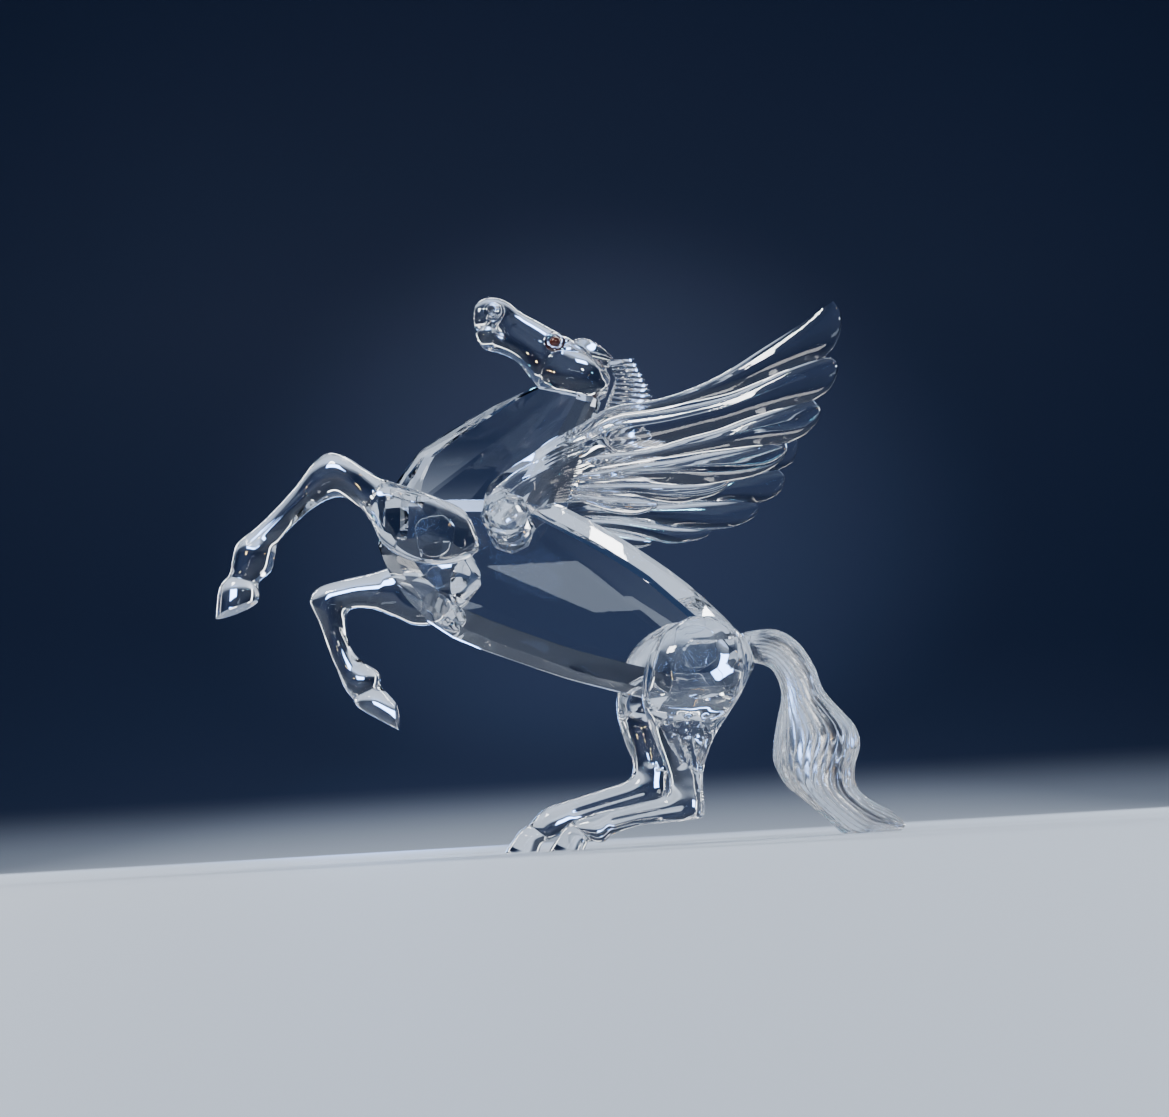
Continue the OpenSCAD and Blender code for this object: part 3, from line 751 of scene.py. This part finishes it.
def feather_grid(cells, rows):
    """Places (row, column, x z) of all feathers, the share across each one and the share along."""
    t = 1 - (1 - np.linspace(0, 1, rows)) ** 1.5
    columns, shares = [], []
    for k in range(FEATHERS):
        upper = resample(curve_points(FEATHER_LINES[k], 10), 200)
        lower = resample(curve_points(FEATHER_LINES[k + 1], 10), 200)
        tip = [FEATHER_LINES[k][-1], *FEATHER_ENDS[k], FEATHER_LINES[k + 1][-1]]
        ends = resample(curve_points(tip, 12), 200)
        line = np.linspace(0, 1, 200)
        count = cells + 1 if k == FEATHERS - 1 else cells
        for c in range(count):
            s = c / cells
            a = np.stack([np.interp(t, line, upper[:, j]) for j in (0, 1)], axis=-1)
            b = np.stack([np.interp(t, line, lower[:, j]) for j in (0, 1)], axis=-1)
            end = np.array([np.interp(s, line, ends[:, j]) for j in (0, 1)])
            straight = upper[-1] * (1 - s) + lower[-1] * s
            columns.append(a * (1 - s) + b * s + (end - straight) * (t ** 3)[:, None])
            shares.append(s)
    return np.stack(columns, axis=1), np.array(shares)[None, :], t[:, None]


def wing_half(s, t, feather):
    """Outer and inner half thickness of a feather: a rounded vane, with shaft and ridges outside."""
    vane = 0.26 + 0.74 * np.sin(math.pi * s ** 0.85) ** 0.8
    tip = np.sqrt(np.clip(1 - t ** 7, 0, 1)) * (1 - 0.45 * t ** 2) + 0.06
    shaft = 0.16 * np.exp(-((s - SHAFT_SHARE) / 0.06) ** 2) * (1 - t ** 3)
    ridges = 0.08 * np.cos(2 * math.pi * 2 * s + feather) * np.clip(1 - t / 0.7, 0, 1)
    plain = FEATHER_HALF * vane * tip
    return plain + (shaft + ridges) * np.sin(math.pi * s), BACK_SHARE * plain


def arm_grid(roots, rows):
    """The arm's places, its outer and inner half thickness, and how far it has merged with the roots.

    Its columns fan out from the boss to the roots of the feathers.
    """
    line = np.array([[*a, *b] for a, b in ARM_ROWS])
    line = resample(curve_points(line, 10), rows)
    top, low = line[-1, :2], line[-1, 2:]
    share = np.clip((roots - top) @ (low - top) / ((low - top) @ (low - top)), 0, 1)
    even = np.linspace(0, 1, len(roots))
    u = np.linspace(0, 1, rows)[:, None]
    merge = smooth_step(u)
    s = even[None, :] * (1 - merge) + share[None, :] * merge
    place = line[:, None, :2] * (1 - s[:, :, None]) + line[:, None, 2:] * s[:, :, None]
    chord = top * (1 - share[:, None]) + low * share[:, None]
    place = place + (roots - chord)[None, :, :] * (merge ** 2)[:, :, None]
    # Long facets along the arm, then fine barbs up to the scalloped edge of the coverts.
    profile = np.interp(s, ARM_SHARES, ARM_HALVES)
    barbs = 0.08 * np.abs(np.sin(math.pi * BARBS * s)) * smooth_step((u - 0.5) / 0.1)
    edge = 0.8 + 0.05 * np.abs(np.sin(math.pi * SCALLOPS * s))
    scallop = 0.12 * np.exp(-((u - edge) / 0.03) ** 2)
    front = profile + (barbs + scallop) * np.sin(math.pi * s)
    return place, front, BACK_SHARE * profile, smooth_step((u - 0.7) / 0.3)


def wing_mesh(name, side):
    """The arm and feathers as one shell, and the boss."""
    cells, feather_rows, arm_rows = 22, 70, 60
    vanes, s, t = feather_grid(cells, feather_rows)
    feather = np.minimum(np.arange(vanes.shape[1]) // cells, FEATHERS - 1)[None, :]
    vane_front, vane_back = wing_half(s, t, feather)
    arm, arm_front, arm_back, merge = arm_grid(vanes[0], arm_rows)
    arm_front = arm_front * (1 - merge) + vane_front[0] * merge
    arm_back = arm_back * (1 - merge) + vane_back[0] * merge
    place = np.concatenate([arm, vanes[1:]])
    rise = np.concatenate([arm_front, vane_front[1:]])
    fall = np.concatenate([arm_back, vane_back[1:]])
    out = wing_out(place[:, :, 0])
    front = np.stack([place[:, :, 0], side * (out + rise), place[:, :, 1]], axis=-1)
    back = np.stack([place[:, :, 0], side * (out - fall), place[:, :, 1]], axis=-1)
    points, faces = revolve([(BOSS_RADIUS * r, h) for r, h in BOSS_SHAPE], BOSS_SIDES)
    points = outwards(points, side) + np.array([BOSS_PLACE[0], side * PAD, BOSS_PLACE[1]])
    return make_mesh(name, *joined(closed_sheet(front, back), (points, faces)))


for name, side in (("wing_left", LEFT), ("wing_right", RIGHT)):
    add_piece(wing_mesh(name, side), name, pressed_crystal, 24)


# ---------------------------------------------------------------- legs

def leg_stations(rows):
    """Stations whose fifth number is the distance out from the pad."""
    return [(*row[:4], PAD + row[4], *row[5:]) for row in rows]


FORELEG_LEFT = [
    (-15.5, 64.5, -15.5, 62, 1.6, 1, PAD), (-18, 70.3, -18.5, 60, 2.6, 2.8, PAD),
    (-24, 73.6, -24, 59.2, 3.2, 4.2, PAD), (-30, 76, -30, 60.6, 3.7, 4.8, PAD),
    (-34.5, 77.8, -35, 64, 4, 4.6, PAD), (-38, 80, -37.2, 68.6, 4.2, 4.2, 9),
    (-41.5, 82.6, -39.6, 72.2, 4, 4, 6), (-45, 84, -43.2, 74.6, 3.6, 3.8, 0),
    (-48.6, 82.4, -46.6, 74.2, 3.2, 3.5, 0), (-52.5, 77.6, -50, 72.3, 3, 2.9, 0),
    (-57, 73, -54, 69, 2.8, 2.6, 0), (-61.5, 69, -56.8, 66, 2.6, 2.6, 0),
    (-65.2, 66.2, -57.6, 63, 2.4, 3, 0), (-66.4, 62.6, -58.4, 60.2, 2.3, 2.8, 0),
    (-67, 60, -61, 58, 2.2, 2.5, 0), (-69.2, 57, -61, 55.4, 2.2, 3.3, 0),
    (-70, 50.8, -61.4, 54, 2.2, 3.6, 0),
]
FORELEG_RIGHT = [
    (-16.5, 60.5, -16.5, 57.5, 1.6, 1, PAD), (-20, 66, -20.5, 53.6, 2.6, 3, PAD),
    (-26, 67.4, -26.5, 51.2, 3.4, 4.3, PAD), (-32, 66.2, -32, 51, 3.8, 4.8, PAD),
    (-37, 64.4, -36.4, 53, 3.8, 4.2, 10), (-42, 63, -41, 55, 3.5, 3.8, 6),
    (-47.5, 62, -44.5, 55.6, 3.2, 3.5, 0), (-53.4, 60.4, -46.6, 55.2, 3, 3.4, 0),
    (-55.4, 57.4, -47.4, 53.6, 2.8, 3.3, 0), (-54, 54, -47.4, 51.4, 2.6, 2.9, 0),
    (-52.4, 49.6, -46.9, 48.4, 2.3, 2.4, 0), (-50.8, 45, -45.8, 45.2, 2, 2.3, 0),
    (-49.3, 40.8, -43, 42.6, 1.8, 2.5, 0), (-48, 37.6, -40.4, 40.6, 1.7, 2.9, 0),
    (-46.2, 35, -40, 37.6, 1.6, 2.5, 0), (-44.6, 32.8, -38.4, 35.6, 1.6, 3.2, 0),
    (-36.6, 27.8, -36.8, 33.6, 1.6, 3.4, 0),
]
HINDLEG_LEFT = [
    (27, 45.6, 32, 45.6, 1.7, 1, PAD), (21.6, 42.6, 36.8, 42, 2.6, 3.4, PAD),
    (18.2, 38, 39.2, 37.4, 3.4, 4.6, PAD), (16.7, 33, 38.4, 33.2, 3.5, 4.8, PAD),
    (16.4, 29, 36.4, 29.2, 3.1, 4.8, PAD), (17, 25.5, 33.8, 25.5, 2.2, 4.4, 8),
    (18, 22, 31.2, 22, 1.2, 3.6, 0), (19.3, 18.4, 29.3, 18.4, 0.2, 3.1, 0),
    (20.6, 14.6, 28, 14.4, -0.6, 2.9, 0), (21, 11.8, 27.7, 10.6, -1.1, 2.9, 0),
    (20.4, 10.3, 27.8, 7, -1.5, 2.9, 0), (18.6, 9.3, 26.8, 4.9, -1.8, 2.7, 0),
    (15.2, 8.7, 20.6, 4.4, -2, 2.3, 0), (11, 8, 14.2, 4.1, -2.2, 2, 0),
    (6.6, 7.4, 9.4, 2.8, -2.4, 2.1, 0), (3.4, 6.6, 7, 1.2, -2.6, 2.5, 0),
    (0.6, 5.6, 4.8, 1.4, -2.7, 2.2, 0), (-1.2, 4.2, 3.6, 1.2, -2.8, 2.8, 0),
    (-4.4, 0, 3, 0, -2.8, 3.2, 0),
]
HINDLEG_RIGHT = [
    (23, 46.2, 28, 46.2, 1.7, 1, PAD), (17.4, 43.4, 33.4, 42.8, 2.6, 3.4, PAD),
    (13.6, 38.8, 36.4, 38.4, 3.4, 4.6, PAD), (12, 33.8, 35, 34, 3.5, 4.8, PAD),
    (11.5, 29.6, 32.2, 29.6, 3.1, 4.8, PAD), (12, 25.4, 28.8, 25.4, 2.2, 4.4, 8),
    (13, 21.6, 25.2, 21.8, 1.2, 3.6, 0), (14, 18.6, 22.6, 18, 0.2, 3, 0),
    (14.2, 16.2, 21.2, 13.6, -0.6, 2.9, 0), (13.4, 14.4, 20.8, 10.4, -1.1, 2.9, 0),
    (11.6, 13.4, 19.2, 8.2, -1.5, 2.7, 0), (7.6, 12.3, 12, 7.4, -1.8, 2.3, 0),
    (1, 10.6, 4, 5.8, -2.2, 2, 0), (-5, 9, -1.4, 3.4, -2.5, 2.4, 0),
    (-8.6, 5.8, -4.6, 2.2, -2.7, 2.3, 0), (-11, 4.2, -6.2, 1.6, -2.8, 2.8, 0),
    (-14.2, 0, -6.8, 0, -2.8, 3.2, 0),
]

# Facets ground into the outer face of each disc: (forward, outward, upward) and depth.
SHOULDER_FACETS = [
    ((0, 1, 0.05), 1.2), ((-0.75, 1, -0.1), 1.0), ((-0.3, 1, -0.85), 0.9), ((-0.3, 1, 0.85), 0.9),
]
HAUNCH_FACETS = [
    ((-0.12, 1, 0.05), 1.3), ((0.75, 1, 0.05), 1.1), ((-0.15, 1, 0.9), 1.0), ((-0.9, 1, 0.2), 1.0),
]
DISC_CENTRE_OUT = 15
# Grooves by kind, as (width, depth): above a hoof, down a cannon, under a disc and down a thigh.
HOOF = (0.45, 0.35)
CANNON = (0.6, 0.3)
DISC = (0.9, 0.2)
THIGH = (0.5, 0.35)
# Each leg: node, stations, side, disc centre and radius, facets, and its grooves as
# (line of points, kind).
LEGS = [
    ("foreleg_left", FORELEG_LEFT, LEFT, (-27, 67), 12, SHOULDER_FACETS, [
        ([(-67.8, 59.6), (-60.4, 57.4)], HOOF), ([(-50.6, 75.4), (-62, 66)], CANNON)]),
    ("foreleg_right", FORELEG_RIGHT, RIGHT, (-28, 59), 12, SHOULDER_FACETS, [
        ([(-46.6, 34.8), (-39.6, 37.8)], HOOF), ([(-49, 51), (-45.6, 42)], CANNON)]),
    ("hindleg_left", HINDLEG_LEFT, LEFT, (28, 36), 13, HAUNCH_FACETS, [
        ([(0.2, 5.8), (5.2, 1.2)], HOOF), ([(19, 28.2), (26, 26.2), (34, 28.6)], DISC),
        ([(22, 25), (24, 16)], THIGH), ([(25.4, 24.6), (25.8, 15)], THIGH),
        ([(28.8, 24.4), (27.2, 16)], THIGH), ([(23, 7.6), (9, 5.4)], CANNON)]),
    ("hindleg_right", HINDLEG_RIGHT, RIGHT, (24, 36), 13, HAUNCH_FACETS, [
        ([(-9, 6), (-4.2, 2)], HOOF), ([(14.4, 28.6), (21, 26.6), (29.4, 29)], DISC),
        ([(16.4, 25), (18, 17)], THIGH), ([(20, 24.6), (19.6, 16)], THIGH),
        ([(23.6, 24.4), (21.4, 17)], THIGH), ([(16, 11), (1, 7.6)], CANNON)]),
]


def leg_mesh(name, rows, side, disc, radius, facets, grooves):
    """A leg with its grooves, and with a disc whose outer face is ground into facets."""
    def relief(points, normals):
        total = sum(groove(points, line, *kind) for line, kind in grooves)
        return total * smooth_step(np.abs(normals[:, 1]) * 1.5)

    mesh = make_mesh(name, *loft(leg_stations(rows), around=96, steps=14, side=side))
    emboss(mesh, relief)
    cuts = [((-forward, side * outward, upward), depth) for (forward, outward, upward), depth in facets]
    shave(mesh, at_y(disc, side * DISC_CENTRE_OUT), radius, cuts)
    return mesh


for name, *shape in LEGS:
    add_piece(leg_mesh(name, *shape), name, pressed_crystal, 28)


# ---------------------------------------------------------------- tail

# As other stations, but the sixth number is a share of TAIL_HALF and there is no limit.
TAIL_HALF = 4.2
TAIL_STATIONS = [
    (38.783, 43.1, 41.083, 36.6, 0, 0.55), (43.6, 43.7, 43.2, 36, 0, 0.66),
    (47.4, 43, 44.8, 34.8, 0, 0.72), (51, 40, 46, 32, 0, 0.8), (53.7, 35, 46.2, 29, 0, 0.85),
    (55.2, 30, 45.5, 26.3, 0, 0.9), (57.8, 26.4, 44.6, 23, 0, 0.96), (61, 22.2, 43.7, 19, 0, 1),
    (61.6, 18, 43.5, 15.2, 0, 1), (60.2, 13.4, 45.5, 10.8, 0, 0.94), (60.3, 9.4, 49, 7.4, 0, 0.86),
    (63.2, 6.4, 53, 3.6, 0, 0.78), (66.8, 4.2, 57.6, -0.6, 0, 0.68), (69, 2.2, 63.5, -0.6, 0, 0.5),
    (69.7, 1, 68.4, -0.2, 0, 0.25),
]
TAIL_STRANDS = 26
STRAND_DEPTH = 0.19


def tail_strand(angle, along):
    """Strands that sway round the tail as they run down it, and fade in from the glued end."""
    grow = smooth_step(along / 0.12)
    sway = 0.25 * np.sin(2 * math.pi * 1.6 * along)
    comb = np.abs(np.sin(TAIL_STRANDS / 2 * (angle + sway)))
    return 1 - STRAND_DEPTH * grow * (1 - comb) ** 1.2 - 0.03 * grow * np.cos(5 * angle + 4 * along)


def tail_mesh():
    rows = [(*row[:5], TAIL_HALF * row[5], FREE) for row in TAIL_STATIONS]
    return make_mesh("tail", *loft(rows, around=12 * TAIL_STRANDS, steps=12, strand=tail_strand))


add_piece(tail_mesh(), "tail", satin_crystal, 60)


# ---------------------------------------------------------------- adhesive films

# A film fills this share of its gap.
FILM_SHARE = 0.8
# Where each film lies: (x, z, radius, side) on the barrel's sides, and (x, z, half length, half
# width, tilt in degrees) between two slopes.
LEG_FILMS = [(-25, 66, 3.5, LEFT), (-25.5, 59.5, 2.5, RIGHT), (28, 38.5, 4, LEFT), (26, 38.5, 4, RIGHT)]
WING_FILMS = [(*BOSS_PLACE, 2.8, side) for side in (LEFT, RIGHT)]
JOINT_X = -16.7
POLL_X = 4.2
NECK_FILM = (JOINT_X, joint_at(JOINT_X), 19, 8.8, JOINT_TILT)
POLL_FILM = (POLL_X, poll_at(POLL_X) - BOND, 3.8, 3, POLL_TILT)
MANE_FILM = (7, 86, 8, 1, -70)
TAIL_FILM = (39.6, 39.8, 2.5, 1.5, -70)


def film(length, width, seed):
    """A thin drop of adhesive pressed out between two facets, centred on its own origin.

    length and width reach from its centre to its rim. seed only changes the rim's waves.
    """
    around = 64
    angle = np.linspace(0, 2 * math.pi, around, endpoint=False)
    wobble = 0.94 + 0.03 * np.sin(3 * angle + seed) + 0.02 * np.sin(7 * angle + 2 * seed)
    rings = []
    for share, height in ((0.97, -0.5), (1, -0.2), (1, 0.2), (0.97, 0.5)):
        x = np.sign(np.cos(angle)) * np.abs(np.cos(angle)) ** 0.8 * length * wobble * share
        y = np.sign(np.sin(angle)) * np.abs(np.sin(angle)) ** 0.8 * width * wobble * share
        rings.append(np.stack([x, y, np.full(around, height * BOND * FILM_SHARE)], axis=-1))
    points = np.concatenate(rings)
    faces = grid_faces(4, around, around=True)
    faces.append(tuple(range(around)))
    faces.append(tuple(range(3 * around, 4 * around)))
    return points, faces


def turned(points, degrees):
    """Points turned about Y, clockwise as seen with X to the right and Z up."""
    c, s = math.cos(math.radians(degrees)), math.sin(math.radians(degrees))
    x, y, z = points.T
    return np.stack([x * c + z * s, y, z * c - x * s], axis=-1)


def side_films(places):
    """The films of pieces glued to the barrel's sides."""
    solids = []
    for seed, (x, z, radius, side) in enumerate(places):
        points, faces = film(radius, radius, seed)
        middle = np.array([x, side * (BODY_HALF + BOND / 2), z])
        solids.append((outwards(points, side) + middle, faces))
    return joined(*solids)


def level_film(x, z, length, width, tilt, seed):
    """A film that lies on a slope across the middle plane."""
    points, faces = film(length, width, seed)
    lift = turned(np.array([[0, 0, BOND / 2]]), tilt)[0]
    return turned(points, tilt) + np.array([x, 0, z]) + lift, faces


def add_film(node, solid):
    """A film keeps its own thickness, a little less than the gap, so it is placed and not stretched."""
    mesh = make_mesh(node, *solid)
    points, _ = mesh_arrays(mesh)
    low, high = (np.array(corner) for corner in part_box(node))
    middle = (points.min(0) + points.max(0)) / 2
    points = (low + high) / 2 + (points - middle) * MM
    mesh.vertices.foreach_set("co", points.ravel())
    replace_node(mesh, node, film_glass, 30)


add_film("bond_legs", side_films(LEG_FILMS))
add_film("bond_wings", side_films(WING_FILMS))
add_film("bond_neck", joined(level_film(*NECK_FILM, 1), level_film(*POLL_FILM, 2)))
add_film("bond_mane", level_film(*MANE_FILM, 3))
add_film("bond_tail", level_film(*TAIL_FILM, 4))


# ---------------------------------------------------------------- stage, light and camera

# Places and sizes below are in metres.
FLOOR_COLOUR = (0.34, 0.395, 0.48, 1)
WALL_COLOUR = (0.014, 0.028, 0.075, 1)
WORLD_COLOUR = (0.026, 0.05, 0.12, 1)
# The height at which the floor's colour has given way to the wall's.
WALL_START = 0.04
LIGHT_TARGET = (0, 0, 0.06)
WHITE = (1, 1, 1)
# Lamps: name, place, width, height, power and colour. The key and rim lamps draw the long highlights,
# and the small coloured ones the glints of cut crystal.
LAMPS = [
    ("key", (-0.3, -0.4, 0.55), 0.13, 0.13, 4.5, WHITE),
    ("rim_right", (0.42, 0.3, 0.22), 0.04, 0.45, 3, WHITE),
    ("rim_left", (-0.42, 0.3, 0.22), 0.04, 0.45, 3, WHITE),
    ("rim_top", (0.05, 0.28, 0.5), 0.5, 0.04, 2.8, WHITE),
    ("front_glint", (0.12, -0.45, 0.25), 0.04, 0.04, 0.5, WHITE),
    ("cyan_glint", (0.3, -0.3, 0.25), 0.03, 0.03, 0.3, (0.25, 0.75, 1)),
    ("blue_glint", (-0.1, 0.45, 0.06), 0.1, 0.05, 0.35, (0.3, 0.5, 1)),
    ("soft_front", (0.06, -1.0, 0.262), 0.3, 0.045, 0.16, (0.75, 0.87, 1)),
    ("amber_glint", (-0.25, -0.3, 0.1), 0.02, 0.02, 0.2, (1, 0.6, 0.2)),
]
GLOW_PLACE = (0.02, 0.35, 0.42)
GLOW_TARGET = (0.02, 0.95, 0.22)
GLOW_POWER = 7
GLOW_ANGLE = 62
# The camera: what it looks at, where it stands, how it is turned about its line of sight, and how
# much it sees from side to side at the horse.
VIEW_CENTRE = (0.0063, 0, 0.0612)
VIEW_PLACE = (0.0063, -0.335, 0.003)
VIEW_ROLL = -3.3
VIEW_WIDTH = 0.250954
SENSOR_WIDTH = 36


def backdrop():
    """A floor that sweeps up into a wall, pale below and dark blue above."""
    width, front, bend, radius, top = 3, -2.4, 0.5, 0.45, 1.9
    # The floor lies a hair below the hooves, so that the two don't share a plane.
    gap = 0.00003
    profile = [(front, -gap), (bend, -gap)]
    for a in np.linspace(0.05, math.pi / 2, 24):
        profile.append((bend + radius * math.sin(a), radius * (1 - math.cos(a))))
    profile.append((bend + radius, top))
    points = [(x, y, z) for y, z in profile for x in (-width, width)]
    faces = [(2 * i, 2 * i + 1, 2 * i + 3, 2 * i + 2) for i in range(len(profile) - 1)]
    mesh = bpy.data.meshes.new("backdrop")
    mesh.from_pydata(points, [], faces)
    mesh.polygons.foreach_set("use_smooth", [True] * len(faces))
    material, tree, shader = new_material("backdrop")
    place = tree.nodes.new("ShaderNodeTexCoord")
    split = tree.nodes.new("ShaderNodeSeparateXYZ")
    ramp = tree.nodes.new("ShaderNodeValToRGB")
    ramp.color_ramp.interpolation = "EASE"
    ramp.color_ramp.elements[0].color = FLOOR_COLOUR
    ramp.color_ramp.elements[1].position = WALL_START
    ramp.color_ramp.elements[1].color = WALL_COLOUR
    tree.links.new(place.outputs["Object"], split.inputs["Vector"])
    tree.links.new(split.outputs["Z"], ramp.inputs["Fac"])
    tree.links.new(ramp.outputs["Color"], shader.inputs["Base Color"])
    shader.inputs["Roughness"].default_value = 0.7
    mesh.materials.append(material)
    add_object("backdrop", mesh)


def world():
    studio = bpy.data.worlds.new("studio")
    bpy.context.scene.world = studio
    studio.use_nodes = True
    back = studio.node_tree.nodes["Background"]
    back.inputs["Color"].default_value = WORLD_COLOUR
    back.inputs["Strength"].default_value = 1.0


def aim(thing, place, target):
    """Puts a lamp or camera in its place, looking at the target."""
    thing.location = place
    thing.rotation_euler = (Vector(target) - Vector(place)).to_track_quat("-Z", "Y").to_euler()


def area_light(name, place, width, height, power, colour):
    data = bpy.data.lights.new(name, "AREA")
    data.shape = "RECTANGLE"
    data.size = width
    data.size_y = height
    data.energy = power
    data.color = colour
    aim(add_object(name, data), place, LIGHT_TARGET)


def wall_glow():
    """A soft pool of light on the wall behind the horse."""
    data = bpy.data.lights.new("wall_glow", "SPOT")
    data.energy = GLOW_POWER
    data.spot_size = math.radians(GLOW_ANGLE)
    data.spot_blend = 1
    data.shadow_soft_size = 0.02
    aim(add_object("wall_glow", data), GLOW_PLACE, GLOW_TARGET)


def camera():
    """The photograph's view: from a little below the horse's middle, slightly turned."""
    distance = (Vector(VIEW_CENTRE) - Vector(VIEW_PLACE)).length
    data = bpy.data.cameras.new("camera")
    data.sensor_width = SENSOR_WIDTH
    data.lens = SENSOR_WIDTH * distance / VIEW_WIDTH
    data.clip_start = 0.01
    data.clip_end = 20
    eye = add_object("camera", data)
    aim(eye, VIEW_PLACE, VIEW_CENTRE)
    eye.rotation_euler.rotate_axis("Z", math.radians(VIEW_ROLL))
    bpy.context.scene.camera = eye


def light_paths():
    """Enough bounces for light to cross all the glass, with stray bright spots held down."""
    cycles = bpy.context.scene.cycles
    cycles.max_bounces = 24
    cycles.transmission_bounces = 24
    cycles.glossy_bounces = 8
    cycles.sample_clamp_indirect = 8


backdrop()
world()
for lamp in LAMPS:
    area_light(*lamp)
wall_glow()
camera()
light_paths()
